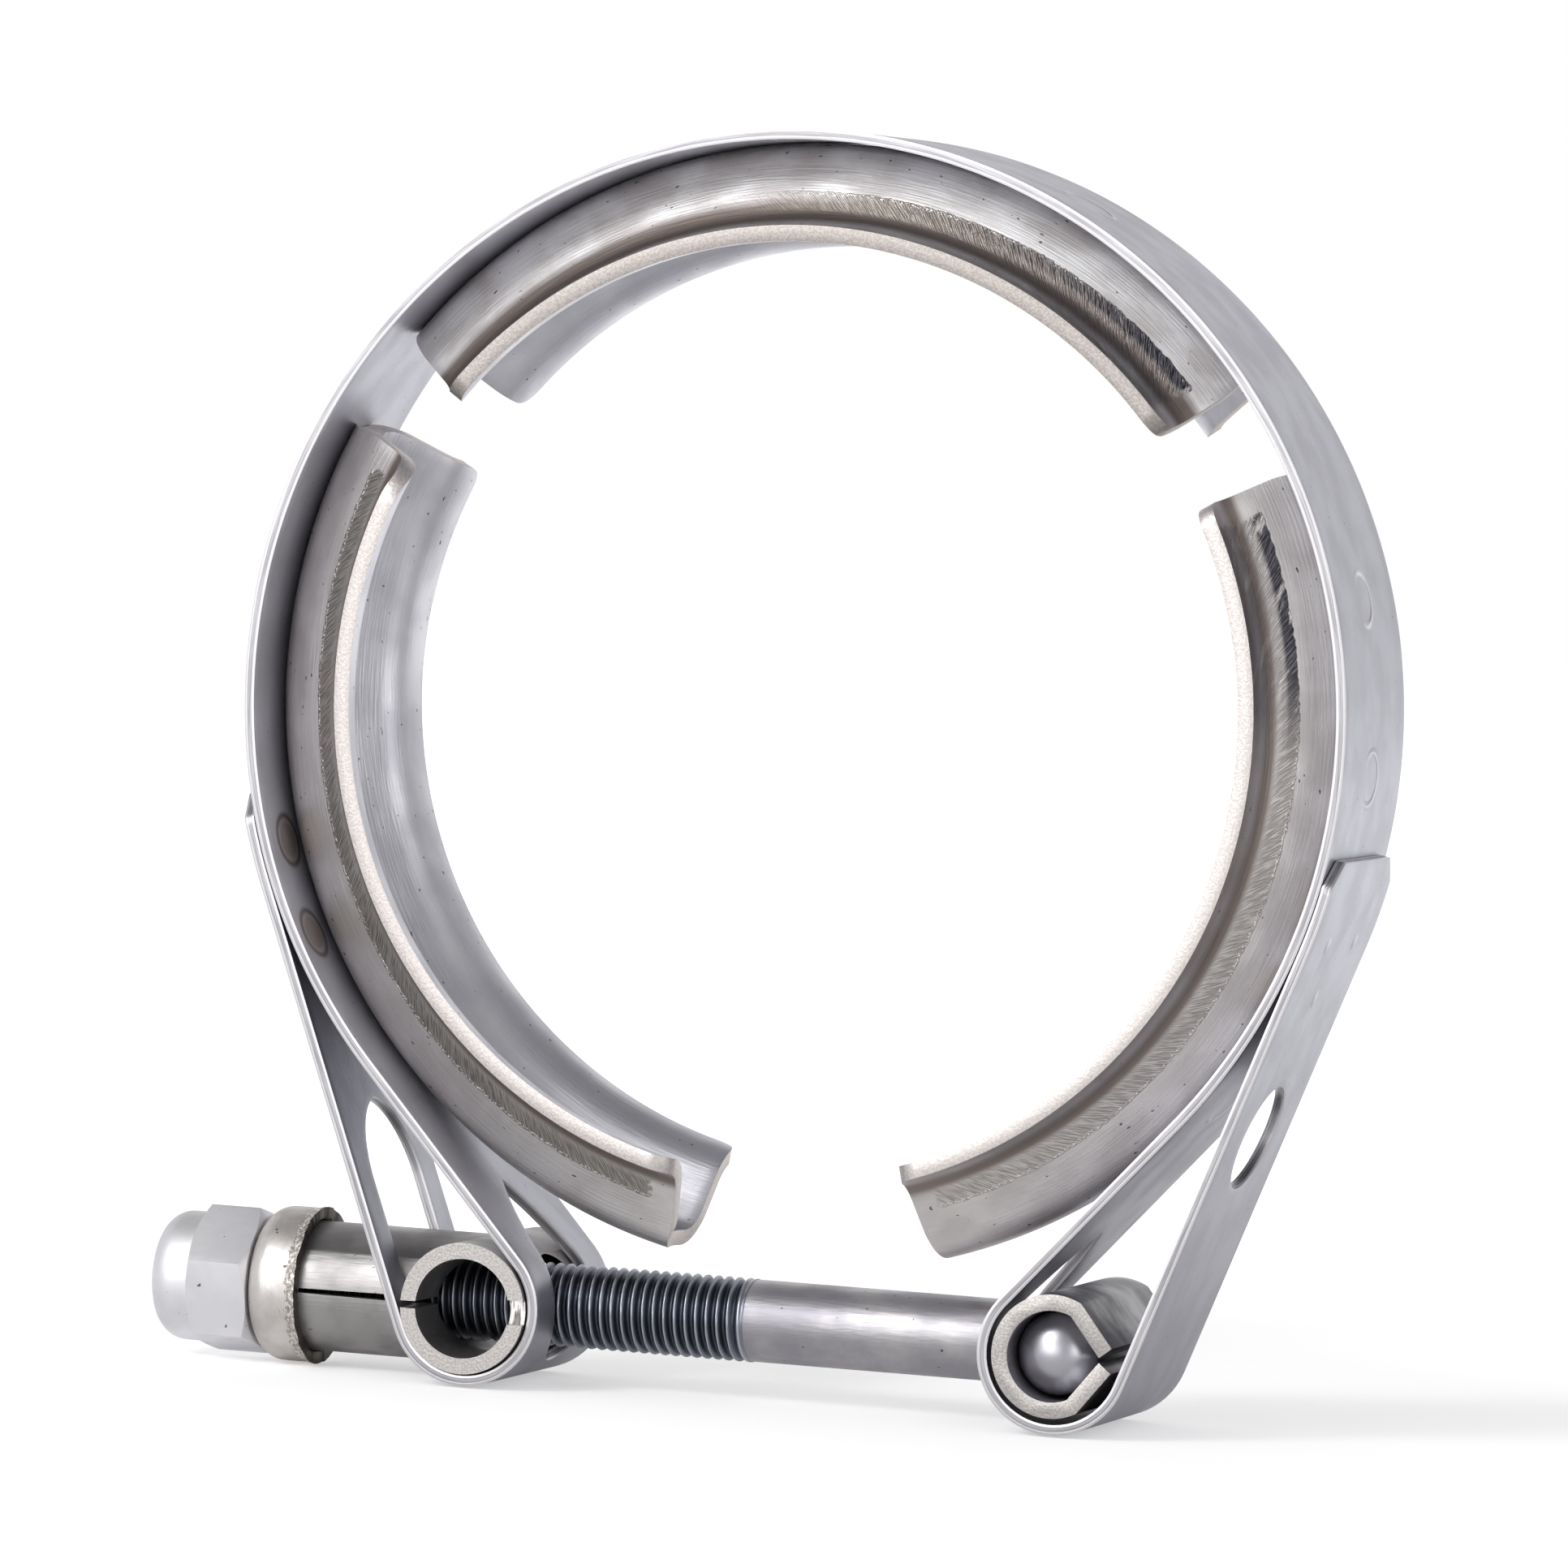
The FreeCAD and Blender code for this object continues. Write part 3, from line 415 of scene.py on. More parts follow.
# %% [markdown]
# Every sheet piece was flat first. Each of its points remembers where it lay on the flat blank, along
# and across it and how deep in the sheet, in an attribute named blank. A grain drawn on the blank
# follows the bends, as it does in rolled sheet, and another attribute named cut is 1 on sheared faces.


# %% Strap steel
def sheet_tree(name):
    """The material of a bent sheet and its tree, the place on the blank and the mask of cut faces."""
    material, tree = new_tree(name)
    blank = add(tree, "ShaderNodeAttribute", attribute_name="blank").outputs["Vector"]
    cut = add(tree, "ShaderNodeAttribute", attribute_name="cut").outputs["Fac"]
    return material, tree, blank, cut


def slit_edge(tree, steel, blank, cut):
    """The edge of thin strip, slit by rollers: a dull core between two smooth borders, which are painted
    bright as the highlights of the rounded corners.
    """
    depth = add(tree, "ShaderNodeSeparateXYZ", [blank]).outputs[2]
    depth = add(tree, "ShaderNodeMath", [depth], operation="ABSOLUTE")
    core = where(tree, (depth, 0.3, 0.14))
    lines = where(tree, (streaks(tree, blank, (5, 1, 0.12)), 0.35, 0.65))
    dull = lay(tree, {"part": 0.6}, lines, part=1.0)["part"]
    tones, ridges = where(tree, core, dull), where(tree, (core, 0, 1))
    # Painted highlight: the borders are painted pale, the core darker and dull
    edge = mottled(tree, tones, ridges, ("9a989d", "dfdde0"), 0.38, (0.2, 0.5))
    return lay(tree, steel, cut, **edge)


def weld_rim(tree, steel, blank, along, across, size):
    """A spot weld seen from the sheet's face: a shallow round dimple with a thin raised rim, which
    stands up more on one side. The rim is also painted paler, as its highlight."""
    spot = [blank, (along, across, SHEET / 2)]
    away = add(tree, "ShaderNodeVectorMath", spot, operation="DISTANCE").outputs["Value"]
    part = add(tree, "ShaderNodeSeparateXYZ", [blank]).outputs[1]
    steel = lay(tree, steel, where(tree, (away, size - 0.1, size - 0.6)), height=0.0)
    one_side = (part, across - size, across + 0.7 * size)
    rim = where(tree, (away, size - 0.5, size), (away, size + 0.5, size), one_side)
    # Painted highlight: the raised rim is painted paler
    return lay(tree, steel, rim, height=7.0, colour=linear("d0cfd4"))


def heat_tint(tree, steel, blank, along, across, size):
    """A spot weld on the sheet's inner face: the heat leaves it straw-brown, with a dark outline."""
    spot = [blank, (along, across, -SHEET / 2)]
    away = add(tree, "ShaderNodeVectorMath", spot, operation="DISTANCE").outputs["Value"]
    steel = lay(tree, steel, where(tree, 0.7, (away, size, size - 0.9)), colour=linear("8d8074"))
    line = where(tree, 0.8, (away, size - 0.5, size), (away, size + 0.6, size))
    return lay(tree, steel, line, colour=linear("5a4a40"))


def strap_steel(name, welds, tints):
    """Satin stainless strip. The eye gets an even cool grey with a faint lengthwise grain."""
    material, tree, blank, cut = sheet_tree(name)
    steel = bare_steel(tree, blank, "b6b6bf", "b0b0b8", 0.38, (6, 0.14, 1))
    for weld in welds:
        steel = weld_rim(tree, steel, blank, *weld)
    for tint in tints:
        steel = heat_tint(tree, steel, blank, *tint)
    return finish(material, tree, slit_edge(tree, steel, blank, cut), 0.05)


# %% [markdown]
# The fittings are drawn, rolled or forged, and every one has its own grey. Their patterns are drawn in
# the object's own space, where the ends of a tube or the rim of a cup are easy to find by their place.


# %% Steel of the fittings
def fitting_tree(name, pale, dark, rough, grain):
    """A fitting's material and its tree, the place on the object in millimetres and the bare steel."""
    material, tree = new_tree(name)
    place = add(tree, "ShaderNodeTexCoord").outputs["Object"]
    place = add(tree, "ShaderNodeVectorMath", {0: place, "Scale": 1 / MM}, operation="SCALE")
    return material, tree, place, bare_steel(tree, place, pale, dark, rough, grain)


def folded_notch(tree, steel, place, away, end, fold):
    """Beyond x = fold the tube's cut edge is folded over, in a bright wrinkled notch whose ridges are
    painted near white and hollows grey, as painted highlights and shade.
    """
    x, _, z = add(tree, "ShaderNodeSeparateXYZ", [place]).outputs
    height = add(tree, "ShaderNodeMath", [z, BOLT_Z], operation="SUBTRACT")
    height = add(tree, "ShaderNodeMath", [height], operation="ABSOLUTE")
    floor = [(away, end - 0.62, end - 0.52), (away, end - 0.4, end - 0.48)]
    notch = where(tree, *floor, (height, 1.25, 1.1), (x, fold, fold + 0.1))
    wrinkle = where(tree, (streaks(tree, place, (0.35, 1, 2.5), detail=2.0), 0.4, 0.6))
    # Painted highlight and shade: the raised wrinkles are painted near white, the hollows between them
    # grey
    folded = mottled(tree, wrinkle, wrinkle, ("fbf9f7", "a39d99"), 0.3, (3.0, 0.0))
    return lay(tree, steel, notch, **folded)


def fitting_steel(name, pale, dark, rough, grain, relief_mm, end=None, fold=None):
    """Steel of one fitting. Beyond y = end its sheared edge begins, which beyond x = fold is folded."""
    material, tree, place, steel = fitting_tree(name, pale, dark, rough, grain)
    if end:
        away = add(tree, "ShaderNodeSeparateXYZ", [place]).outputs[1]
        away = add(tree, "ShaderNodeMath", [away], operation="ABSOLUTE")
        cut = where(tree, (away, end - 0.06, end - 0.02))
        steel = sheared_edge(tree, steel, place, cut, ("cfcbc8", "bab5b2"))
    if fold:
        steel = folded_notch(tree, steel, place, away, end, fold)
    return finish(material, tree, steel, relief_mm)


def bolt_body_steel():
    """Cold drawn stainless. The eye gets a soft mottled shank and a head polished by its bearing."""
    looks = ("c8c5c8", "a9a6ad", 0.4, (2.5, 0.35, 0.35))
    material, tree, place, steel = fitting_tree("cold_drawn_stainless", *looks)
    along = add(tree, "ShaderNodeSeparateXYZ", [place]).outputs[0]
    head = where(tree, (along, LOOP_X - 5.2, LOOP_X - 4.8))
    steel = lay(tree, steel, head, colour=linear("c6c5cc"), rough=0.34, height=0.1)
    return finish(material, tree, steel, 0.05)


def cup_steel():
    """A drawn cup. The eye gets a pale mottled body, a torn bright rim and an end face painted dark, as
    painted shade.
    """
    looks = ("e8e4e1", "c8c2be", 0.44, (0.5, 1.6, 1.6))
    material, tree, place, steel = fitting_tree("drawn_stainless_cup", *looks)
    along = add(tree, "ShaderNodeSeparateXYZ", [place]).outputs[0]
    ragged = streaks(tree, place, (0.8, 0.5, 0.5))
    edge = add(tree, "ShaderNodeMath", [ragged, 0.9, along], operation="MULTIPLY_ADD")
    torn = where(tree, (edge, cap_high.x - 0.6, cap_high.x - 0.5))
    grit = where(tree, (streaks(tree, place, (0.3, 0.4, 0.4)), 0.35, 0.65))
    steel = lay(tree, steel, torn, **mottled(tree, grit, grit, ("f0ebe6", "aca49d"), 0.4, (1.0, 0.0)))
    # Painted shade: the end face of the rim is painted dark
    facing = add(tree, "ShaderNodeTexCoord").outputs["Normal"]
    facing = add(tree, "ShaderNodeSeparateXYZ", [facing]).outputs[0]
    end = where(tree, (facing, 0.55, 0.75), (along, cap_high.x - 1.2, cap_high.x - 1.0))
    steel = lay(tree, steel, end, colour=linear("5b5450"), rough=0.5, height=0.5)
    return finish(material, tree, steel, 0.09)


def thread_steel():
    """Rolled thread: dark and bluish down in its grooves, as painted shade, and bright and smooth on its
    crests, the brightness a painted highlight. The stretch inside the tube is painted dark, as painted
    shade."""
    looks = ("a3a7b2", "858a96", 0.3, (1, 2, 2))
    material, tree, place, steel = fitting_tree("rolled_thread_steel", *looks)
    crest = add(tree, "ShaderNodeAttribute", attribute_name="crest").outputs["Fac"]
    # Painted shade in the grooves, dark and bluish, and a painted highlight on the crests
    steel = lay(tree, steel, where(tree, (crest, 0.9, 0.35)), colour=linear("4d515c"), rough=0.4)
    steel = lay(tree, steel, where(tree, (crest, 0.94, 1.0)), colour=linear("c6c8cf"))
    along = add(tree, "ShaderNodeSeparateXYZ", [place]).outputs[0]
    # Painted shade: the stretch inside the tube is painted near black, as the shade in there
    in_tube = (along, cap_high.x - 0.8, cap_high.x - 0.2)
    painted_tube_shade = where(tree, (along, -LOOP_X - 3.5, -LOOP_X - 6.5), in_tube)
    steel = lay(tree, steel, painted_tube_shade, colour=linear("2c2b2d"), rough=0.5)
    return finish(material, tree, steel, 0.04)


# Folded stainless sheet. The eye gets a warm grey, lined along the tubes, and pale torn edges
tube_looks = ("b4b1b1", "979494", 0.42, (3, 3, 0.3), 0.05)
trunnion_steel = fitting_steel("folded_stainless", *tube_looks, CROSS_HALF, 3 - LOOP_X)

# Rolled stainless sheet. The eye gets a darker, cloudier grey with smears along the sleeve
sleeve_looks = ("a9a7aa", "78767a", 0.4, (1, 4, 1), 0.07)
sleeve_steel = fitting_steel("rolled_sleeve_stainless", *sleeve_looks, CROSS_HALF)

# Satin steel. The eye gets a nearly white nut with wide soft reflections
nut_steel = fitting_steel("satin_nut_steel", "f4f3f6", "e8e7eb", 0.52, (1, 1, 1), 0.03)
shank_steel = bolt_body_steel()
cap_steel = cup_steel()
bolt_thread_steel = thread_steel()
print("steels:", [material.name for material in bpy.data.materials])

# %% [markdown]
# The strap is one punched strip. It runs over the ring, leaves it in a straight leg, wraps round a
# trunnion and comes back up outside as a tail. Here it is made the way the maker makes it: a flat
# pattern with its slots and corners cut, then bent round a path. The flat pattern is filled with a
# fine grid, so the bends are smooth, and the same few arcs and lines as on the drawing are the path.
# It is made in two halves that meet at the crown.

# %% The strip's path
TAIL_GAP = 0.1
TAIL_END = 11.5
RING_MID = STRAP_RADIUS - SHEET / 2
LOOP_MID = LOOP_RADIUS + SHEET / 2
TAIL_MID = STRAP_RADIUS + TAIL_GAP + SHEET / 2
RING_CENTRE = (0, 0)
LOOP_CENTRE = (LOOP_X, BOLT_Z)

# The angles, from the ring's centre, at which the leg and the tail touch the ring and the loop
reach = math.hypot(*LOOP_CENTRE)
down = math.degrees(math.atan2(BOLT_Z, LOOP_X))
LEG = down + math.degrees(math.acos((STRAP_RADIUS + LOOP_RADIUS) / reach))
TAIL = down + math.degrees(math.acos((STRAP_RADIUS + TAIL_GAP - LOOP_RADIUS) / reach))

# The right half of the strip's middle line: lines from point to point, and arcs as a centre, a radius
# and two angles
PATH = [
    (RING_CENTRE, RING_MID, 90, LEG),
    (polar(RING_CENTRE, RING_MID, LEG), polar(LOOP_CENTRE, LOOP_MID, 180 + LEG)),
    (LOOP_CENTRE, LOOP_MID, 180 + LEG, 360 + TAIL),
    (polar(LOOP_CENTRE, LOOP_MID, TAIL), polar(RING_CENTRE, TAIL_MID, TAIL)),
    (RING_CENTRE, TAIL_MID, TAIL, -TAIL_END),
]


def stretch_length(stretch):
    if len(stretch) == 2:
        return math.dist(*stretch)
    _, radius, start, end = stretch
    return abs(math.radians(end - start)) * radius


STARTS = np.cumsum([0] + [stretch_length(stretch) for stretch in PATH])
print("strip length from crown to tail end:", round(STARTS[-1], 2))


def on_path(along):
    """The point on the middle line that far from the crown, and the direction of its outer face."""
    index = int(np.clip(np.searchsorted(STARTS, along, side="right") - 1, 0, len(PATH) - 1))
    stretch = PATH[index]
    length = stretch_length(stretch)
    part = (along - STARTS[index]) / length
    if len(stretch) == 2:
        (x0, z0), (x1, z1) = stretch
        return (x0 + (x1 - x0) * part, z0 + (z1 - z0) * part), ((z0 - z1) / length, (x1 - x0) / length)
    centre, radius, start, end = stretch
    angle = start + (end - start) * part
    return polar(centre, radius, angle), polar((0, 0), 1 if end < start else -1, angle)


def along_at_height(height, low, high):
    """How far along the strip a height is reached, between two places where it only rises or falls."""
    falling = on_path(low)[0][1] > on_path(high)[0][1]
    for _ in range(40):
        middle = (low + high) / 2
        if (on_path(middle)[0][1] > height) == falling:
            low = middle
        else:
            high = middle
    return (low + high) / 2


# %% Slots in the flat pattern
SLOT_HALF = 5.3
TUBE_SLOT_HALF = 6.35
SLOT_HEIGHTS = (-5.0, 0.3, 11.2)
TUBE_SLOT_HEIGHTS = (-6.35, 10.8, 18.3)
SIGHT_HOLE_RADIUS = 5.2
SIGHT_HOLE_RISE = 24.9
LOOP_SIDE = STARTS[2] + math.radians(90 - LEG) * LOOP_MID


def arched_slot(half, foot, spring, top, low, high):
    """A slot with a round foot, straight sides and a pointed top, given by their heights over the
    bolt. It is cut between two places along the strip."""
    rise = top - spring
    arch = (rise * rise + half * half) / (2 * half)
    lean = math.degrees(math.atan2(rise, arch - half))
    points = arc_points((0, foot + half), half, 180, 360, 28)
    points += arc_points((half - arch, spring), arch, 0, lean, 14)
    points += arc_points((arch - half, spring), arch, 180 - lean, 180, 14)[1:]
    return [(along_at_height(BOLT_Z + z, low, high), y) for y, z in points]


# The bolt passes the leg and the loop's inner side, and the nut's tube its outer side and the tail
bolt_slot = arched_slot(SLOT_HALF, *SLOT_HEIGHTS, STARTS[1] - 8, LOOP_SIDE)
tube_slot = arched_slot(TUBE_SLOT_HALF, *TUBE_SLOT_HEIGHTS, LOOP_SIDE, STARTS[4])
sight_hole = arc_points((STARTS[3] + SIGHT_HOLE_RISE, 0), SIGHT_HOLE_RADIUS, 0, 354, 59)
slots = (bolt_slot, tube_slot, sight_hole)
print("slots along the strip, mm:", [round(slot[0][0], 1) for slot in slots])


# %% Fill a flat pattern and bend it
def inside(points, outline):
    """Which points lie inside a closed outline."""
    x, y = points[:, 0], points[:, 1]
    found = np.zeros(len(points), bool)
    for (x0, y0), (x1, y1) in zip(outline, outline[1:] + outline[:1]):
        crosses = (y0 > y) != (y1 > y)
        if y0 != y1:
            found ^= crosses & (x < (x1 - x0) * (y - y0) / (y1 - y0) + x0)
    return found


def on_sheet(points, edges):
    """Which points lie inside the first edge and outside the others, which are holes."""
    found = inside(points, edges[0])
    for hole in edges[1:]:
        found &= ~inside(points, hole)
    return found


def clear_of(points, outline, gap):
    """Which points are at least a gap away from an outline."""
    free = np.ones(len(points), bool)
    for start, end in zip(outline, outline[1:] + outline[:1]):
        a, d = np.array(start), np.array(end) - np.array(start)
        part = np.clip(((points - a) @ d) / max(d @ d, 1e-12), 0, 1)
        free &= np.hypot(*(points - a - part[:, None] * d).T) > gap
    return free


def divide(outline, step):
    """Add points along the straight edges of an outline."""
    points = []
    for start, end in zip(outline, outline[1:] + outline[:1]):
        count = max(1, round(math.dist(start, end) / step))
        for number in range(count):
            part = number / count
            points.append(tuple(a + (b - a) * part for a, b in zip(start, end)))
    return points


def fill_pattern(outline, holes, step):
    """Triangles that fill a flat outline with holes, on an even grid."""
    edges = [divide(edge, step) for edge in (outline, *holes)]
    low, high = np.min(edges[0], axis=0), np.max(edges[0], axis=0)
    columns = [np.arange(a + step / 2, b, step) for a, b in zip(low, high)]
    grid = np.array(np.meshgrid(*columns)).reshape(2, -1).T
    keep = on_sheet(grid, edges)
    points, rims = [], []
    for edge in edges:
        keep &= clear_of(grid, edge, 0.5 * step)
        first = len(points)
        points += edge
        rims += [(first + n, first + (n + 1) % len(edge)) for n in range(len(edge))]
    points += [tuple(p) for p in grid[keep]]
    flat = [Vector(p) for p in points]
    points, _, faces, *_ = geometry.delaunay_2d_cdt(flat, rims, [], 0, 1e-5)
    centres = np.array([[sum(points[i][k] for i in face) / 3 for k in (0, 1)] for face in faces])
    kept = on_sheet(centres, edges)
    return [tuple(p) for p in points], [face for face, good in zip(faces, kept) if good]


def bent_sheet(name, outline, holes, step, place, sheet):
    """Bend a flat pattern. place gives the point at (along, across) and a depth from its middle."""
    points, faces = fill_pattern(outline, holes, step)
    count = len(points)
    flat = [(*point, depth) for depth in (sheet / 2, -sheet / 2) for point in points]
    used = dict.fromkeys(pair for face in faces for pair in zip(face, face[1:] + face[:1]))
    solid = [list(face) for face in faces]
    solid += [[corner + count for corner in reversed(face)] for face in faces]
    solid += [[b, a, a + count, b + count] for a, b in used if (b, a) not in used]
    item = mesh_object(name, [place(*point) for point in flat], solid)
    blank = item.data.attributes.new("blank", "FLOAT_VECTOR", "POINT")
    blank.data.foreach_set("vector", np.ravel(flat))
    cut = item.data.attributes.new("cut", "FLOAT", "FACE")
    cut.data.foreach_set("value", [float(number >= 2 * len(faces)) for number in range(len(solid))])
    return outward(item)


# %% Strap halves
STRAP_STEP = 0.7
EDGE_ROUND = 0.13
TAIL_CORNER = 2.4


def weigh_edges(item):
    """Mark the sharp edges for rounding, apart from those at the crown, where the halves meet."""
    shape = bmesh.new()
    shape.from_mesh(item.data)
    weight = shape.edges.layers.float.new("bevel_weight_edge")
    for edge in shape.edges:
        at_crown = all(abs(corner.co.x) < 0.01 * MM for corner in edge.verts)
        edge[weight] = float(edge.calc_face_angle(0) > SHARP and not at_crown)
    shape.to_mesh(item.data)
    shape.free()


def strap_half(name, side, holes):
    """One half of the strap. side is 1 for the T-head's half and -1 for the nut's."""
    half, end = STRAP_WIDTH / 2, STARTS[-1]
    outline = [(0, -half), (end - TAIL_CORNER, -half), (end, TAIL_CORNER - half)]
    outline += [(along, -across) for along, across in reversed(outline)]

    def place(along, across, depth):
        (x, z), (nx, nz) = on_path(along)
        return (side * (x + nx * depth), across, z + nz * depth)

    item = bent_sheet(name, outline, holes, STRAP_STEP, place, SHEET)
    weigh_edges(item)
    bevel = item.modifiers.new("round", "BEVEL")
    bevel.width = EDGE_ROUND * MM
    bevel.segments = 2
    bevel.limit_method = "WEIGHT"
    smooth(bake_modifiers(item))
    count_triangles(item)
    return item


strap_left = strap_half("strap_left", -1, [bolt_slot, tube_slot])
strap_right = strap_half("strap_right", 1, [bolt_slot, sight_hole])

# %% Marks on the strap
WELD_PITCH = 17.8


def ring_weld(angle, across=-0.5, size=2.5):
    """A weld on the ring, at an angle from the crown."""
    return math.radians(angle) * RING_MID, across, size


def tail_weld(up, across):
    """A small weld on a tail, at a length up from the loop."""
    return STARTS[3] + up, across, 0.9


ring_welds = [ring_weld(75.9 + WELD_PITCH * step) for step in range(4)]
ring_welds += [ring_weld(8.9 + WELD_PITCH * step) for step in range(2)]
tail_welds = [tail_weld(44.8, -4.7), tail_weld(44.8, 4.7), tail_weld(39.2, -1.1)]
heat_tints = [ring_weld(106.8, -5.35, 2.4), ring_weld(116.8, -6.4, 2.3)]
satin_strip = strap_steel("satin_stainless_strip", ring_welds + tail_welds, heat_tints)
print("welds on each half:", len(ring_welds + tail_welds))

# %% Strap finish
for strap, side, arm in ((strap_left, -1, "left_arm"), (strap_right, 1, "right_arm")):
    dress(strap, satin_strip)
    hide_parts("strap")
    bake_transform(strap)

# %% [markdown]
# The retainers are three arcs of one rolled channel, so they are made by one Geometry Nodes tree: an
# arc, a closed section carried along it, and a material. Only the span and the turn differ.

# %% Section of the retainers
CHANNEL_SHEET = 1.5
CHANNEL_DEPTH = 9.37
CHANNEL_GAP = 0.08
CHANNEL_BASE = STRAP_RADIUS - SHEET - CHANNEL_GAP
BASE_HALF = 1.6
ROOT_BEND = 1.4
LEG_LEAN = 25.0
FLARE_BEND = 2.9
LIP_LAND = 0.8
LIP_RADIUS = CHANNEL_BASE - CHANNEL_DEPTH


def channel_section():
    """Half of the sheet's middle line as (across, radius) points, from the base's middle to a lip."""
    root = ROOT_BEND + CHANNEL_SHEET
    root_centre = (BASE_HALF, CHANNEL_BASE - root)
    lip = LIP_RADIUS + CHANNEL_SHEET
    lean = math.radians(LEG_LEAN)
    leg_top = polar(root_centre, root, LEG_LEAN)
    leg = (leg_top[1] + FLARE_BEND * math.sin(lean) - FLARE_BEND - lip) / math.cos(lean)
    foot = (leg_top[0] + leg * math.sin(lean), leg_top[1] - leg * math.cos(lean))
    flare_centre = polar(foot, FLARE_BEND, LEG_LEAN)
    middle = CHANNEL_SHEET / 2
    half = [(0, CHANNEL_BASE - middle)]
    half += arc_points(root_centre, root - middle, 90, LEG_LEAN, 16)
    half += arc_points(flare_centre, FLARE_BEND + middle, 180 + LEG_LEAN, 270, 20)
    return half + [(flare_centre[0] + LIP_LAND, lip - middle)]


SECTION = channel_section()


def section_curve():
    """The whole middle line as a curve, for Geometry Nodes to carry round the ring."""
    points = [(-across, radius) for across, radius in reversed(SECTION[1:])] + SECTION
    data = bpy.data.curves.new("channel_section", "CURVE")
    data.dimensions = "3D"
    spline = data.splines.new("POLY")
    spline.points.add(len(points) - 1)
    for point, (across, radius) in zip(spline.points, points):
        point.co = (0, across * MM, radius * MM, 1)
    return put("channel_section", data)


def across_where(radius):
    """How far across the flat blank the middle line of a leg comes down to a radius."""
    walked = 0.0
    for (a0, r0), (a1, r1) in zip(SECTION, SECTION[1:]):
        step = math.dist((a0, r0), (a1, r1))
        if r1 <= radius < r0:
            return walked + step * (r0 - radius) / (r0 - r1)
        walked += step
    return walked


BLANK_HALF = across_where(0)
STRIPE_START = across_where(48.0)
STRIPE_END = across_where(46.3)
HOLLOW_START = across_where(46.4)
HOLLOW_END = across_where(45.0)
print("lip reaches", round(SECTION[-1][0], 3), "blank", round(BLANK_HALF * 2, 2), "mm wide")


# %% Channel steel
def channel_steel(name, half_length, outside, lip, ground, grinding, scraped, painted_hollow_shade):
    """Rolled stainless channel, ground along the foot of its legs. The eye gets a warm grey outside, a
    cool one inside, a scratched stripe beside each lip, painted shade in the hollow beside it, and dark
    scrapes on one stretch of it. outside is a colour, lip and ground are two each, grinding and scraped
    are places along the arc, and the last argument says where the painted shade in the hollow begins
    and is full, and its colour."""
    material, tree, blank, cut = sheet_tree(name)
    along, part, depth = add(tree, "ShaderNodeSeparateXYZ", [blank]).outputs
    across = add(tree, "ShaderNodeMath", [part], operation="ABSOLUTE")
    outer = where(tree, (depth, -0.1, 0.1))
    steel = bare_steel(tree, blank, "cfced4", "c1c0c7", 0.38, (4, 0.2, 1))
    warm = bare_steel(tree, blank, outside, "d4cfce", 0.46, (3, 0.16, 1))
    steel = lay(tree, steel, outer, colour=warm["colour"], rough=warm["rough"])

    # Painted shade: the hollow beside the lip is painted darker, in a warm grey, as the shade there
    begin, full, colour = painted_hollow_shade
    first = (across, HOLLOW_START + begin, HOLLOW_START + full)
    hollow = where(tree, outer, first, (across, HOLLOW_END + 1.0, HOLLOW_END - 0.5))
    steel = lay(tree, steel, hollow, colour=linear(colour), rough=0.5)

    # A stripe with a crisp, slightly ragged outer border, which stops short of the channel's ends
    ragged = streaks(tree, blank, (0.6, 0.6, 1), detail=4.0)
    edge = add(tree, "ShaderNodeMath", [ragged, 0.5, across], operation="MULTIPLY_ADD")
    from_middle = add(tree, "ShaderNodeMath", [along], operation="ABSOLUTE")
    to_end = add(tree, "ShaderNodeMath", [half_length, from_middle], operation="SUBTRACT")
    to_end = add(tree, "ShaderNodeMath", [ragged, 2.0, to_end], operation="MULTIPLY_ADD")
    border = (edge, STRIPE_START + 0.22, STRIPE_START + 0.3)
    stripe = where(tree, outer, border, (to_end, 3.0, 3.6))

    # The stone's scratches begin at one place along the arc, and fade into the bend of the lip
    reach = add(tree, "ShaderNodeMath", [ragged, 12.0, along], operation="MULTIPLY_ADD")
    ground_part = where(tree, stripe, (reach, *grinding))
    scratch = where(tree, (streaks(tree, blank, (1.4, 0.11, 1), turn=50, detail=2.0), 0.32, 0.68))
    ridges = where(tree, (scratch, 0, 1))
    stone = mottled(tree, scratch, ridges, ground, 0.4, (0.6, 0.1))
    fading = where(tree, ground_part, (across, STRIPE_END + 0.7, STRIPE_END - 0.5))
    steel = lay(tree, steel, fading, **stone)

    # A burr along the stripe's outer border: raised in height, with its sparkle painted on as pale
    # specks, a painted glint
    glint = (streaks(tree, blank, (0.22, 0.18, 1), detail=1.0), 0.5, 0.62)
    burr_and_painted_glint = where(tree, ground_part, glint, (edge, STRIPE_START + 0.65, STRIPE_START + 0.4))
    steel = lay(tree, steel, burr_and_painted_glint, colour=linear("f4efe9"), height=1.0)

    # Dark scrapes where a tool has smeared the steel, on the near side only, thinner towards the lip
    begin, full, end, gone = scraped
    stretch = [(along, begin, full), (along, gone, end), (part, 0.0, -1.0)]
    smear = (streaks(tree, blank, (3.2, 1.0, 1), turn=30, detail=4.0), 0.3, 0.42)
    inner = where(tree, (across, STRIPE_START + 0.9, STRIPE_START + 1.4))
    thin = lay(tree, {"part": 1.0}, inner, part=0.35)["part"]
    black = mottled(tree, scratch, ridges, ("66646b", "2f2e33"), 0.3, (0.5, 0.0))
    steel = lay(tree, steel, where(tree, stripe, thin, smear, *stretch), **black)
    return finish(material, tree, sheared_edge(tree, steel, blank, cut, lip), 0.05)


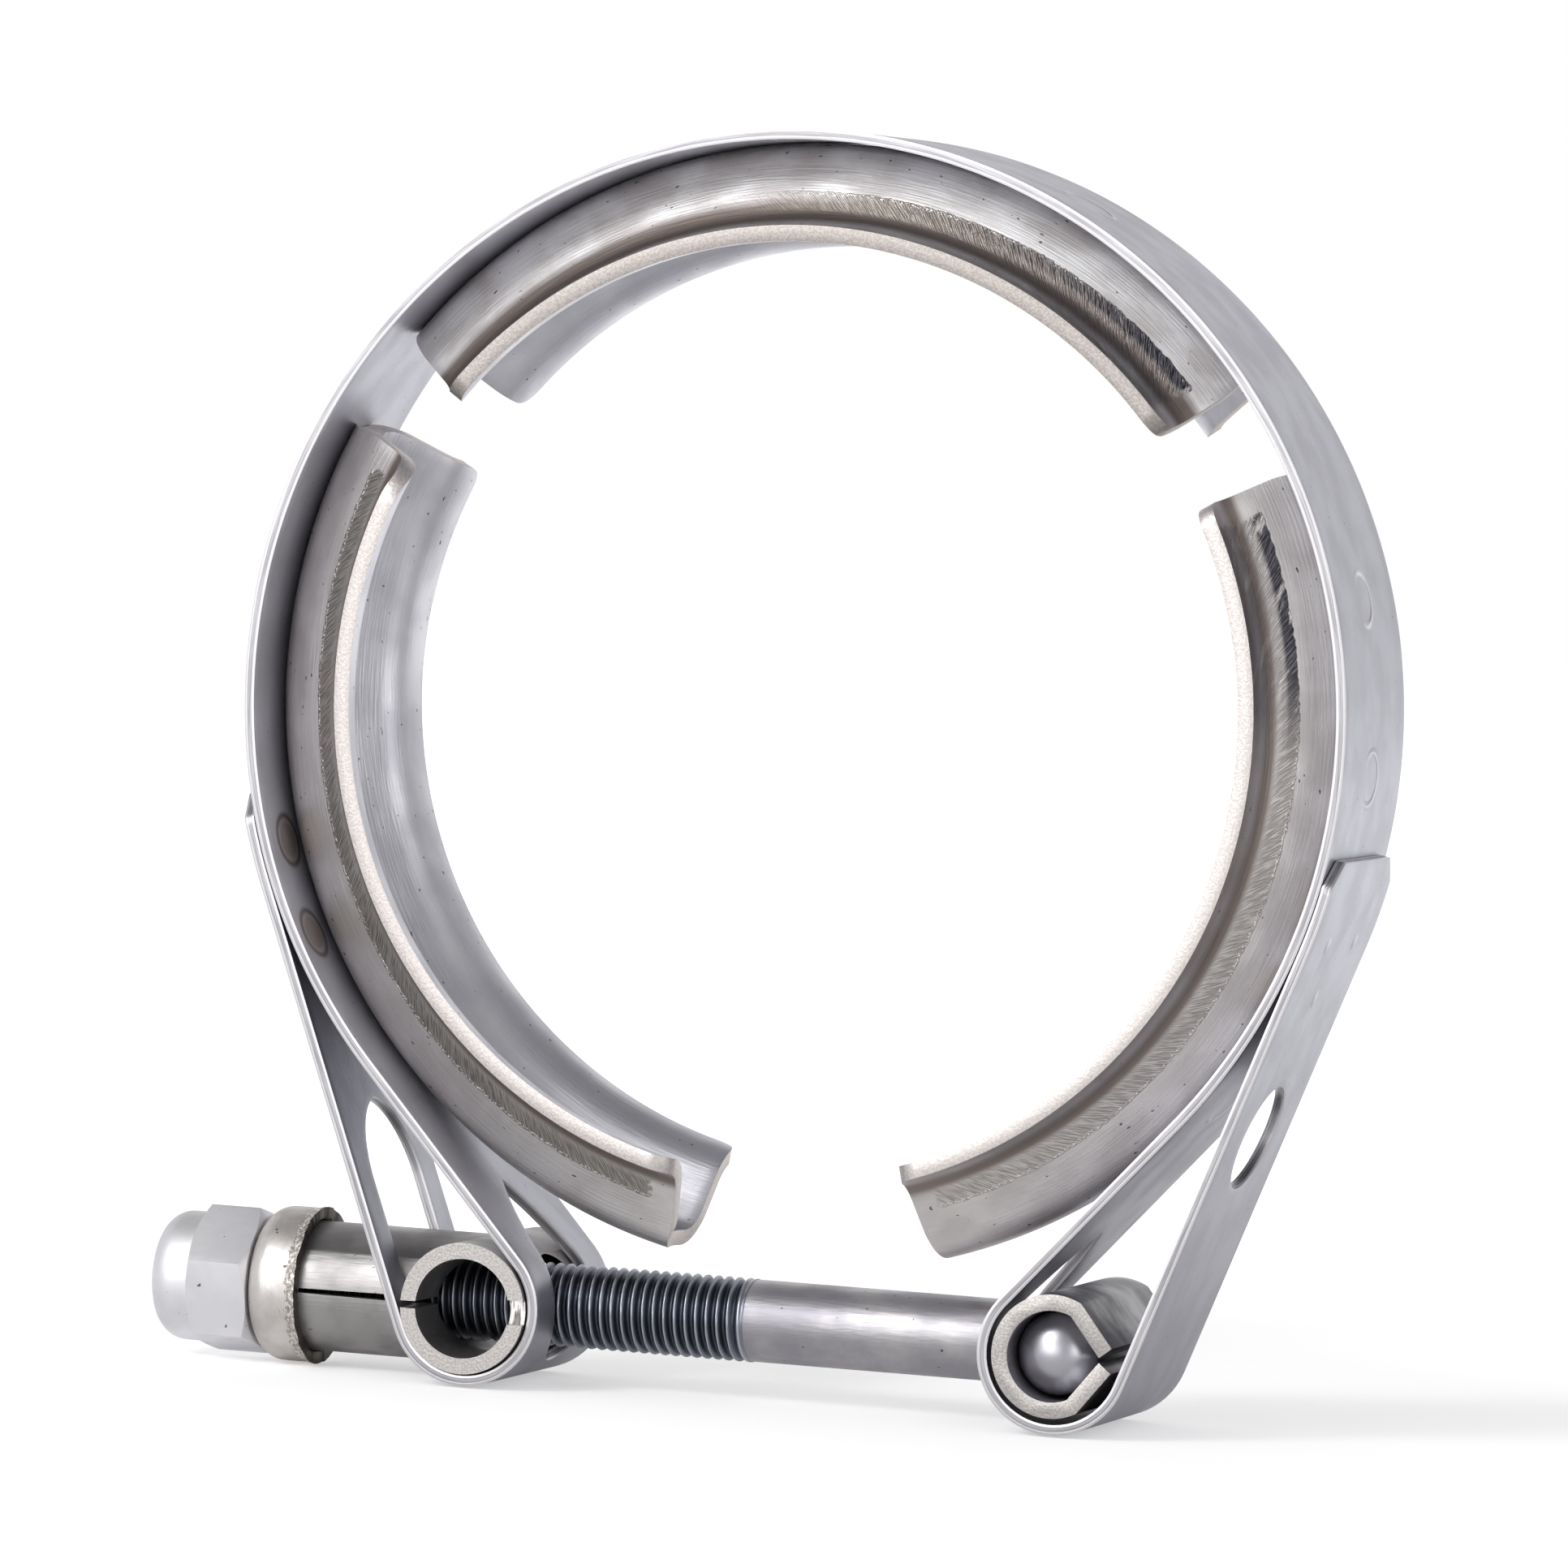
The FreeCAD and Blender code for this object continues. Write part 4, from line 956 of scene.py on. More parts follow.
# %% [markdown]
# Geometry Nodes roll the blank. A box with many cuts is the flat strip: its x runs along the strip, its
# y across it and its z through the sheet. The tree looks up each point's place on the section curve,
# moves it out by its depth and swings it round the ring. At each end the strip is shortened near its
# lips, which gives them their round corners. A bent corner of the real one gets a larger size.


# %% Start and end of a tree
def begin_tree(name, inputs):
    """A Geometry Nodes tree with these named inputs, and what the inputs give."""
    tree = bpy.data.node_groups.new(name, "GeometryNodeTree")
    for label, kind in inputs.items():
        tree.interface.new_socket(label, in_out="INPUT", socket_type="NodeSocket" + kind)
    tree.interface.new_socket("Mesh", in_out="OUTPUT", socket_type="NodeSocketGeometry")
    return tree, add(tree, "NodeGroupInput").outputs


def end_tree(tree, mesh, material):
    """Make the mesh real and give it its material."""
    real = add(tree, "GeometryNodeRealizeInstances", [mesh])
    painted = add(tree, "GeometryNodeSetMaterial", {"Geometry": real, "Material": material})
    add(tree, "NodeGroupOutput", [painted])
    return tree


def grow(name, tree, values):
    """Run a Geometry Nodes tree with these inputs and keep the plain mesh."""
    item = put(name, bpy.data.meshes.new(name))
    modifier = item.modifiers.new("tree", "NODES")
    modifier.node_group = tree
    for socket in tree.interface.items_tree:
        if socket.in_out == "INPUT":
            modifier[socket.identifier] = values[socket.name]
    return outward(bake_modifiers(item))


# %% Channel tree
PULLED_HALF = 5.5


def channel_tree():
    """Geometry Nodes: roll a flat strip into an arc of channel round the ring's axis."""
    sizes = ("Half width", "Sheet", "Middle", "Span", "Corner", "Bent corner", "Set back")
    inputs = {"Section": "Object", **dict.fromkeys(sizes, "Float")}
    inputs.update({"Steps along": "Int", "Steps across": "Int", "Material": "Material"})
    tree, given = begin_tree("rolled_channel", inputs)
    cuts = {"Vertices X": given["Steps along"], "Vertices Y": given["Steps across"], "Vertices Z": 2}
    strip = add(tree, "GeometryNodeMeshCube", {"Size": (2, 2, 1), **cuts})
    here = add(tree, "ShaderNodeSeparateXYZ", [add(tree, "GeometryNodeInputPosition")]).outputs

    # Across the blank, with the cuts closer together towards the lips
    wave = add(tree, "ShaderNodeMath", [here[1], math.pi / 2], operation="MULTIPLY")
    wave = add(tree, "ShaderNodeMath", [wave], operation="SINE")
    across = add(tree, "ShaderNodeMath", [wave, given["Half width"]], operation="MULTIPLY")
    walked = add(tree, "ShaderNodeMath", [across, given["Half width"]])
    depth = add(tree, "ShaderNodeMath", [here[2], given["Sheet"]], operation="MULTIPLY")

    # The place on the section, and its outward direction from the tangent
    curve = add(tree, "GeometryNodeObjectInfo", {"Object": given["Section"]}).outputs["Geometry"]
    on_curve = add(tree, "GeometryNodeSampleCurve", {"Curves": curve, "Length": walked}, mode="LENGTH")
    point = add(tree, "ShaderNodeSeparateXYZ", [on_curve.outputs["Position"]]).outputs
    tangent = add(tree, "ShaderNodeSeparateXYZ", [on_curve.outputs["Tangent"]]).outputs
    aside = add(tree, "ShaderNodeMath", [tangent[2], -1.0], operation="MULTIPLY")
    side = add(tree, "ShaderNodeMath", [aside, depth, point[1]], operation="MULTIPLY_ADD")
    radius = add(tree, "ShaderNodeMath", [tangent[1], depth, point[2]], operation="MULTIPLY_ADD")

    # The bent corner is the one at the end of the arc on the near side, where y is negative
    at_end = add(tree, "ShaderNodeMath", [here[0], 0.0], operation="GREATER_THAN")
    at_near = add(tree, "ShaderNodeMath", [here[1], 0.0], operation="LESS_THAN")
    bent = add(tree, "ShaderNodeMath", [at_end, at_near], operation="MULTIPLY")
    choice = {"Switch": bent, "False": given["Corner"], "True": given["Bent corner"]}
    corner = add(tree, "GeometryNodeSwitch", choice, input_type="FLOAT")

    # How much a round corner takes off the end of the strip at this place across it
    from_middle = add(tree, "ShaderNodeMath", [across], operation="ABSOLUTE")
    to_lip = add(tree, "ShaderNodeMath", [given["Half width"], from_middle], operation="SUBTRACT")
    leg = add(tree, "ShaderNodeMath", [corner, to_lip], operation="SUBTRACT")
    leg = add(tree, "ShaderNodeMath", [leg, 0.0], operation="MAXIMUM")
    leg = add(tree, "ShaderNodeMath", [leg, 2.0], operation="POWER")
    rest = add(tree, "ShaderNodeMath", [corner, 2.0], operation="POWER")
    rest = add(tree, "ShaderNodeMath", [rest, leg], operation="SUBTRACT")
    rest = add(tree, "ShaderNodeMath", [rest], operation="SQRT")
    lost = add(tree, "ShaderNodeMath", [corner, rest], operation="SUBTRACT")

    # The rolls pull the end back a little along the base
    base = {"Value": from_middle, "From Min": PULLED_HALF * MM, "From Max": 0.0}
    pulled = add(tree, "ShaderNodeMapRange", base, interpolation_type="SMOOTHSTEP")
    lost = add(tree, "ShaderNodeMath", [pulled, given["Set back"], lost], operation="MULTIPLY_ADD")
    lost = add(tree, "ShaderNodeMath", [lost, radius], operation="DIVIDE")

    # Round the ring's axis
    half = add(tree, "ShaderNodeMath", [given["Span"], 0.5], operation="MULTIPLY")
    half = add(tree, "ShaderNodeMath", [half, lost], operation="SUBTRACT")
    swing = add(tree, "ShaderNodeMath", [here[0], half], operation="MULTIPLY")
    angle = add(tree, "ShaderNodeMath", [swing, given["Middle"]])
    sine = add(tree, "ShaderNodeMath", [angle], operation="SINE")
    cosine = add(tree, "ShaderNodeMath", [angle], operation="COSINE")
    x = add(tree, "ShaderNodeMath", [radius, sine], operation="MULTIPLY")
    z = add(tree, "ShaderNodeMath", [radius, cosine], operation="MULTIPLY")
    place = add(tree, "ShaderNodeCombineXYZ", [x, side, z])

    # What the finish needs to know of the flat blank, in millimetres
    along = add(tree, "ShaderNodeMath", [swing, LIP_RADIUS * MM], operation="MULTIPLY")
    flat = add(tree, "ShaderNodeCombineXYZ", [along, across, depth])
    flat = add(tree, "ShaderNodeVectorMath", {0: flat, "Scale": 1 / MM}, operation="SCALE")
    sockets = {"Geometry": strip.outputs["Mesh"], "Name": "blank", "Value": flat}
    kept = add(tree, "GeometryNodeStoreNamedAttribute", sockets, data_type="FLOAT_VECTOR")
    facing = add(tree, "ShaderNodeSeparateXYZ", [add(tree, "GeometryNodeInputNormal")]).outputs[2]
    facing = add(tree, "ShaderNodeMath", [facing], operation="ABSOLUTE")
    is_cut = add(tree, "ShaderNodeMath", [facing, 0.5], operation="LESS_THAN")
    sockets = {"Geometry": kept, "Name": "cut", "Value": is_cut}
    kept = add(tree, "GeometryNodeStoreNamedAttribute", sockets, data_type="FLOAT", domain="FACE")
    rolled = add(tree, "GeometryNodeSetPosition", {"Geometry": kept, "Position": place})
    return end_tree(tree, rolled, given["Material"])


# %% Retainers
# Each retainer has its span and middle in degrees, its bent corner and its body
RETAINERS = {
    "retainer_top": (103.4, 0.0, 2.2, "crown"),
    "retainer_left": (106.0, -114.8, 4.4, "left_arm"),
    "retainer_right": (101.6, 112.6, 2.2, "right_arm"),
}
LIP_CORNER = 2.2
SET_BACK = 0.9

# Each has its own looks. Their outside and lip colours differ partly as painted light and shade: the
# top one's outside is painted palest, against the shade under the strap's edge, and its lips are
# painted darkest, the right one's palest. ALL_OVER and NOWHERE are places beyond the ends of every arc.
ALL_OVER = (-99, -98)
NOWHERE = (90, 91, 92, 93)
LOOKS = {
    "retainer_top": {
        "outside": "faf8f8",
        "lip": ("bbb4b1", "aaa39f"),
        "ground": ("b1a8a1", "857c76"),
        "grinding": (-6, 16),
        "scraped": (2, 34, 45, 46),
        "painted_hollow_shade": (-1.5, -0.2, "7c726d"),
    },
    "retainer_left": {
        "outside": "e8e4e3",
        "lip": ("dfd9d7", "d1cac7"),
        "ground": ("b9b4af", "8d8883"),
        "grinding": ALL_OVER,
        "scraped": NOWHERE,
        "painted_hollow_shade": (-0.3, 0.9, "9b9089"),
    },
    "retainer_right": {
        "outside": "e8e4e3",
        "lip": ("e9e3e0", "dad3d0"),
        "ground": ("dcd7d4", "a9a3a0"),
        "grinding": ALL_OVER,
        "scraped": (-39, -38, -24, -12),
        "painted_hollow_shade": (-0.3, 0.9, "9b9089"),
    },
}
rolled_channel = channel_tree()
section = section_curve()
for name, (span, middle, bent, body) in RETAINERS.items():
    half_length = math.radians(span / 2) * LIP_RADIUS
    steel_name = name.replace("retainer", "rolled_stainless")
    steel = channel_steel(steel_name, half_length, **LOOKS[name])
    inputs = {
        "Section": section,
        "Half width": BLANK_HALF * MM,
        "Sheet": CHANNEL_SHEET * MM,
        "Middle": math.radians(middle),
        "Span": math.radians(span),
        "Corner": LIP_CORNER * MM,
        "Bent corner": bent * MM,
        "Set back": SET_BACK * MM,
        "Steps along": 76,
        "Steps across": 120,
        "Material": steel,
    }
    channel = round_edges(grow(name + "_dressed", rolled_channel, inputs), 0.1)
    take_place(channel, name, body)
bpy.data.objects.remove(section)

# %% [markdown]
# The nut trunnion is one sheet folded so that it makes a cross tube in the strap's loop and a tube
# round the bolt. Two tubes are joined and their bores, the open seam and the notches of the fold cut.

# %% Nut trunnion
TUBE_RADIUS = 6.2
TUBE_WALL = 1.5
SEAM = 0.8
SEAM_TAPER = 0.45
NOTCH_HALF = 1.15
NOTCH_DEPTH = 0.5
BEYOND = 20


def nut_trunnion():
    centre = (-LOOP_X, 0, BOLT_Z)
    bore = TUBE_RADIUS - TUBE_WALL
    item = rod("nut_trunnion_dressed", "Y", TUBE_RADIUS, -CROSS_HALF, CROSS_HALF, centre)
    combine(item, rod("tube", "X", TUBE_RADIUS, TUBE_END + LOOP_X, 0, centre), "UNION")
    combine(item, rod("bore", "Y", bore, -BEYOND, BEYOND, centre), "DIFFERENCE")
    combine(item, rod("bore", "X", bore, -2 * BEYOND, 10, centre), "DIFFERENCE")
    low = (TUBE_END - 1, -BEYOND, BOLT_Z - SEAM / 2)
    high = (-LOOP_X, BEYOND, BOLT_Z + SEAM / 2)
    combine(item, block("seam", low, high, SEAM_TAPER), "DIFFERENCE")
    for side in (-1, 1):
        start, end = sorted((side * (CROSS_HALF - NOTCH_DEPTH), side * BEYOND))
        low = (-LOOP_X + bore * 0.9, start, BOLT_Z - NOTCH_HALF)
        high = (-LOOP_X + TUBE_RADIUS + 1, end, BOLT_Z + NOTCH_HALF)
        combine(item, block("notch", low, high), "DIFFERENCE")
    return round_edges(item, 0.15)


trunnion = dress(nut_trunnion(), trunnion_steel)
take_place(trunnion, "nut_trunnion", "nut_end")

# %% [markdown]
# The T-head's sleeve is a strip rolled nearly closed. Its two straight legs leave a slit on the side
# away from the nut. Its section is drawn once and carried straight across the clamp.

# %% T-head sleeve
SHANK_RADIUS = 3.88
SLEEVE_RADIUS = 5.75
SLEEVE_LEG_START = 62.0
SLEEVE_LEG = 5.0
SLEEVE_LEG_SLOPE = 51.6


def sleeve_outline():
    """The rolled strip's section as (x, z) points round the T-head's axis."""
    inner = SLEEVE_RADIUS - TUBE_WALL
    along = polar((0, 0), 1, -SLEEVE_LEG_SLOPE)
    shoulder = polar((0, 0), SLEEVE_RADIUS, SLEEVE_LEG_START)
    nose = tuple(a + SLEEVE_LEG * b for a, b in zip(shoulder, along))
    inner_nose = (nose[0] + TUBE_WALL * along[1], nose[1] - TUBE_WALL * along[0])
    offset = along[0] * inner_nose[1] - along[1] * inner_nose[0]
    back = -math.sqrt(max(inner * inner - offset * offset, 0))
    inner_shoulder = (back * along[0] - offset * along[1], back * along[1] + offset * along[0])
    inner_start = math.degrees(math.atan2(inner_shoulder[1], inner_shoulder[0]))
    outline = arc_points((0, 0), SLEEVE_RADIUS, SLEEVE_LEG_START, 360 - SLEEVE_LEG_START, 72)
    outline += [(nose[0], -nose[1]), (inner_nose[0], -inner_nose[1])]
    outline += arc_points((0, 0), inner, 360 - inner_start, inner_start, 72)
    return outline + [inner_nose, nose]


def sleeve():
    outline = sleeve_outline()
    ends = [[(LOOP_X + x, y, BOLT_Z + z) for x, z in outline] for y in (-CROSS_HALF, CROSS_HALF)]
    item = prism("bolt_trunnion_dressed", *ends)
    hole = rod("hole", "X", SHANK_RADIUS + 0.2, -12, 0, (LOOP_X, 0, BOLT_Z))
    return round_edges(combine(item, hole, "DIFFERENCE"), 0.18)


rolled = dress(sleeve(), sleeve_steel)
take_place(rolled, "bolt_trunnion", "tee_bolt")

# %% [markdown]
# The T-bolt is forged as a bar across a shank, and its fine thread is rolled. The thread follows a
# rule, so Geometry Nodes make it: a grid is wrapped round the bolt, and each of its points moves in
# towards the root by how far it is from the crest of a helix.

# %% T-bolt body
HEAD_RADIUS = 3.85
HEAD_SET_BACK = 0.3
HEAD_HALF = 9.8
HEAD_DOME = 2.3
THREAD_RADIUS = 3.97
THREAD_START = 32.1
THREAD_OVERLAP = 0.4
head_centre = (LOOP_X - HEAD_SET_BACK, 0, BOLT_Z)


def bolt_body():
    ball = (HEAD_RADIUS**2 + HEAD_DOME**2) / (2 * HEAD_DOME)
    spread = math.degrees(math.asin(HEAD_RADIUS / ball))
    dome = [(HEAD_HALF, 0)] + arc_points((HEAD_HALF - ball, 0), ball, 0, spread, 14)[1:]
    profile = [(-along, radius) for along, radius in dome] + list(reversed(dome))
    item = lathe("t_bolt_dressed", profile, "Y", head_centre)
    end = -THREAD_START - THREAD_OVERLAP
    shank = [(0, 0), (0, SHANK_RADIUS), (end, SHANK_RADIUS), (end, 0)]
    combine(item, lathe("shank", shank, "X", head_centre), "UNION")
    return round_edges(item, 0.3, segments=3, angle=30)


bolt = dress(bolt_body(), shank_steel)
take_place(bolt, "t_bolt", "tee_bolt")

# %% Thread tree
PITCH = 1.058
THREAD_DEPTH = 0.62
THREAD_TIP = 0.9
ROOT_FLAT = 0.2
CREST_FLAT = 0.88
RUN_OUT_TURNS = 1.6
ROWS_PER_PITCH = 14
ROUND_STEPS = 64


def thread_tree():
    """Geometry Nodes: a grid wrapped into a threaded rod along minus X."""
    inputs = dict.fromkeys(("Length", "Crest radius", "Depth", "Pitch", "Tip"), "Float")
    inputs.update({"Rows": "Int", "Round": "Int", "Place": "Vector", "Material": "Material"})
    tree, given = begin_tree("rolled_thread", inputs)
    sheet = {"Size X": 1.0, "Size Y": 1.0, "Vertices X": given["Rows"], "Vertices Y": given["Round"]}
    grid = add(tree, "GeometryNodeMeshGrid", sheet)
    split = add(tree, "ShaderNodeSeparateXYZ", [add(tree, "GeometryNodeInputPosition")]).outputs
    part = add(tree, "ShaderNodeMath", [split[0], 0.5])
    turn = add(tree, "ShaderNodeMath", [split[1], 0.5])
    along = add(tree, "ShaderNodeMath", [part, given["Length"]], operation="MULTIPLY")

    # The helix: how far each point is from the nearest crest, from 0 to 1
    turns = add(tree, "ShaderNodeMath", [along, given["Pitch"]], operation="DIVIDE")
    turns = add(tree, "ShaderNodeMath", [turns, turn])
    phase = add(tree, "ShaderNodeMath", [turns], operation="FRACT")
    wave = add(tree, "ShaderNodeMath", [phase, 2.0, -1.0], operation="MULTIPLY_ADD")
    wave = add(tree, "ShaderNodeMath", [wave], operation="ABSOLUTE")
    rise = {"Value": wave, "From Min": ROOT_FLAT, "From Max": CREST_FLAT}
    flank = add(tree, "ShaderNodeMapRange", {**rise, "To Min": 1.0, "To Max": 0.0})

    # The groove runs out at the shank, and the tip is chamfered
    run = add(tree, "ShaderNodeMath", [given["Pitch"], RUN_OUT_TURNS], operation="MULTIPLY")
    run_out = add(tree, "ShaderNodeMapRange", {"Value": along, "From Min": 0.0, "From Max": run})
    groove = add(tree, "ShaderNodeMath", [flank, run_out], operation="MULTIPLY")
    depth = add(tree, "ShaderNodeMath", [groove, given["Depth"]], operation="MULTIPLY")
    radius = add(tree, "ShaderNodeMath", [given["Crest radius"], depth], operation="SUBTRACT")
    to_tip = add(tree, "ShaderNodeMath", [given["Length"], along], operation="SUBTRACT")
    limit = add(tree, "ShaderNodeMath", [given["Crest radius"], given["Tip"]], operation="SUBTRACT")
    limit = add(tree, "ShaderNodeMath", [limit, to_tip])
    radius = add(tree, "ShaderNodeMath", [radius, limit], operation="MINIMUM")

    # The first and last rows close on the axis
    row = add(tree, "ShaderNodeMath", [split[0]], operation="ABSOLUTE")
    middle = add(tree, "ShaderNodeMath", [row, 0.49999], operation="LESS_THAN")
    radius = add(tree, "ShaderNodeMath", [radius, middle], operation="MULTIPLY")
    angle = add(tree, "ShaderNodeMath", [turn, 2 * math.pi], operation="MULTIPLY")
    sine = add(tree, "ShaderNodeMath", [angle], operation="SINE")
    cosine = add(tree, "ShaderNodeMath", [angle], operation="COSINE")
    x = add(tree, "ShaderNodeMath", [along, -1.0], operation="MULTIPLY")
    y = add(tree, "ShaderNodeMath", [radius, cosine], operation="MULTIPLY")
    z = add(tree, "ShaderNodeMath", [radius, sine], operation="MULTIPLY")
    point = add(tree, "ShaderNodeCombineXYZ", [x, y, z])
    moved = add(tree, "ShaderNodeVectorMath", [point, given["Place"]])
    crest = add(tree, "ShaderNodeMath", [1.0, groove], operation="SUBTRACT")
    sockets = {"Geometry": grid, "Name": "crest", "Value": crest}
    kept = add(tree, "GeometryNodeStoreNamedAttribute", sockets, data_type="FLOAT")
    bent = add(tree, "GeometryNodeSetPosition", {"Geometry": kept, "Position": moved})
    sewn = add(tree, "GeometryNodeMergeByDistance", {"Geometry": bent, "Distance": 1e-6})
    return end_tree(tree, sewn, given["Material"])


# %% Thread
thread_length = head_centre[0] - THREAD_START - bolt_low.x
thread_sizes = {
    "Length": thread_length * MM,
    "Crest radius": THREAD_RADIUS * MM,
    "Depth": THREAD_DEPTH * MM,
    "Pitch": PITCH * MM,
    "Tip": THREAD_TIP * MM,
    "Rows": round(thread_length / PITCH * ROWS_PER_PITCH),
    "Round": ROUND_STEPS + 1,
    "Place": [(head_centre[0] - THREAD_START) * MM, 0, BOLT_Z * MM],
    "Material": bolt_thread_steel,
}
thread = grow("t_bolt_thread", thread_tree(), thread_sizes)
thread.data.shade_smooth()
print("thread turns:", round(thread_length / PITCH, 1))
take_place(thread, "t_bolt", "tee_bolt")

# %% [markdown]
# The cap is a cup drawn from sheet. Its rim was trimmed roughly, so it waves a little.

# %% Cap
CAP_WALL = 1.1
CAP_SHOULDER = 2.3
CAP_FLARE = 0.15
CAP_HOLE = THREAD_RADIUS + 0.3
CAP_NECK = 0.9
TORN_DEPTH = 0.8
cap_length = cap_high.x - cap_low.x


def cap_profile():
    """The cup's section. Its last stretch, from the neck to the rim, is cut into short steps."""
    outer = cap_high.y - CAP_FLARE
    inner = outer - CAP_WALL
    neck = cap_length - CAP_NECK
    centre = (CAP_SHOULDER, outer - CAP_SHOULDER)
    steps = [neck + (cap_length - neck) * number / 4 for number in range(5)]
    profile = [(0, CAP_HOLE)]
    profile += arc_points(centre, CAP_SHOULDER, 180, 90, 12)
    profile += [(along, outer + CAP_FLARE * (along - neck) / (cap_length - neck)) for along in steps]
    profile += [(cap_length, inner + CAP_FLARE), (neck, inner)]
    profile += arc_points(centre, CAP_SHOULDER - CAP_WALL, 90, 180, 8)
    return profile + [(CAP_WALL, CAP_HOLE)]


cup = cap_profile()


def torn(number, turn):
    """Small tears of the rim, which the press left: each point near it moves by smooth noise."""
    along = cup[number][0]
    near_rim = max(0.0, 1 - (cap_length - along) / TORN_DEPTH)
    spot = Vector((math.cos(turn) * 7, math.sin(turn) * 7, along * 1.5))
    coarse, fine = noise.noise(spot * 0.55), noise.noise(spot * 1.7)
    shift = near_rim * min(0.0, 0.22 * coarse + 0.12 * fine - 0.05)
    return shift, near_rim * 0.05 * fine


cap = round_edges(lathe("tube_cap_dressed", cup, "X", (cap_low.x, 0, BOLT_Z), 256, torn), 0.08)
take_place(dress(cap, cap_steel), "tube_cap", "nut_end")

# %% [markdown]
# The lock nut is a hexagon whose corners are turned away at both ends, with a round collar that
# grips the thread.

# %% Lock nut
NUT_FLATS = 12.7
NUT_HEX = 6.1
NUT_COLLAR_RADIUS = 6.2
NUT_CROWN = 2.4
NUT_TURN = 16.5
NUT_CHAMFER = math.radians(30)
NUT_BORE = THREAD_RADIUS + 0.05
COLLAR_OVERLAP = 0.5


def lock_nut():
    centre = (nut_high.x, 0, BOLT_Z)
    flat, corner = NUT_FLATS / 2, NUT_FLATS / math.sqrt(3)
    outline = [polar((0, BOLT_Z), corner, 180 - NUT_TURN + 60 * step) for step in range(6)]
    ends = [[(x, y, z) for y, z in outline] for x in (nut_high.x, nut_high.x - NUT_HEX)]
    item = prism("lock_nut_dressed", *ends)
    rise = (corner - flat) * math.tan(NUT_CHAMFER)
    chamfers = [(0, 0), (0, flat), (-rise, corner)]
    chamfers += [(-NUT_HEX - along, radius) for along, radius in reversed(chamfers)]
    combine(item, lathe("chamfers", chamfers, "X", centre, 192), "INTERSECT")
    round_edges(item, 0.11, angle=20)
    length = nut_low.x - nut_high.x
    rim = (length + NUT_CROWN, NUT_COLLAR_RADIUS - NUT_CROWN)
    start = COLLAR_OVERLAP - NUT_HEX
    collar = [(start, 0), (start, NUT_COLLAR_RADIUS)]
    collar += arc_points(rim, NUT_CROWN, 90, 180, 16) + [(length, 0)]
    combine(item, lathe("collar", collar, "X", centre, 192), "UNION")
    return smooth(combine(item, rod("bore", "X", NUT_BORE, -BEYOND, 5, centre), "DIFFERENCE"))


nut = dress(lock_nut(), nut_steel)
take_place(nut, "lock_nut", "nut")

# %% [markdown]
# The stage. Metal has no colour of its own but what it mirrors, so the room matters as much as the
# steel. Behind the clamp it is white, as in a photographer's tent, and the metal mirrors that white. The
# ceiling and the camera's side are darker. A tall soft lamp on the left front gives the long highlights
# and a small one their bright core, and two weak ones on the right and low in front reach the
# undersides. The floor keeps the clamp's shadow near it and turns into plain white further out.

# %% Floor
# Each pair is a distance from the middle, in metres, and how much the floor glows there
SHADOW_START = (0.08, 0.42)
SHADOW_END = (0.28, 0.85)
FLOOR_HALF = 2500


def mirrored(tree):
    """1 for rays that a mirror or a glass has turned."""
    path = add(tree, "ShaderNodeLightPath").outputs
    rays = [path["Is Glossy Ray"], path["Is Transmission Ray"]]
    return add(tree, "ShaderNodeMath", rays, operation="MAXIMUM")


def floor_paint():
    """Pale matt paint, which also glows white for the camera, and behind the clamp for the metal."""
    material, tree = new_tree("pale_floor")
    camera_ray = add(tree, "ShaderNodeLightPath").outputs["Is Camera Ray"]
    place = add(tree, "ShaderNodeTexCoord").outputs["Object"]
    back = add(tree, "ShaderNodeSeparateXYZ", [place]).outputs[1]
    seen = [where(tree, mirrored(tree), (back, -0.05, 0.15)), camera_ray]
    seen = add(tree, "ShaderNodeMath", seen, operation="MAXIMUM")
    away = add(tree, "ShaderNodeVectorMath", [place], operation="LENGTH").outputs["Value"]
    (near, dim), (far, bright) = SHADOW_START, SHADOW_END
    fading = {"Value": away, "From Min": near, "From Max": far, "To Min": dim, "To Max": bright}
    glow = where(tree, add(tree, "ShaderNodeMapRange", fading), seen)
    lit = add(tree, "ShaderNodeEmission", {"Color": linear("ffffff"), "Strength": glow})
    paint = add(tree, "ShaderNodeBsdfDiffuse", {"Color": linear("f4f4f4")})
    add(tree, "ShaderNodeOutputMaterial", {"Surface": add(tree, "ShaderNodeAddShader", [paint, lit])})
    return material


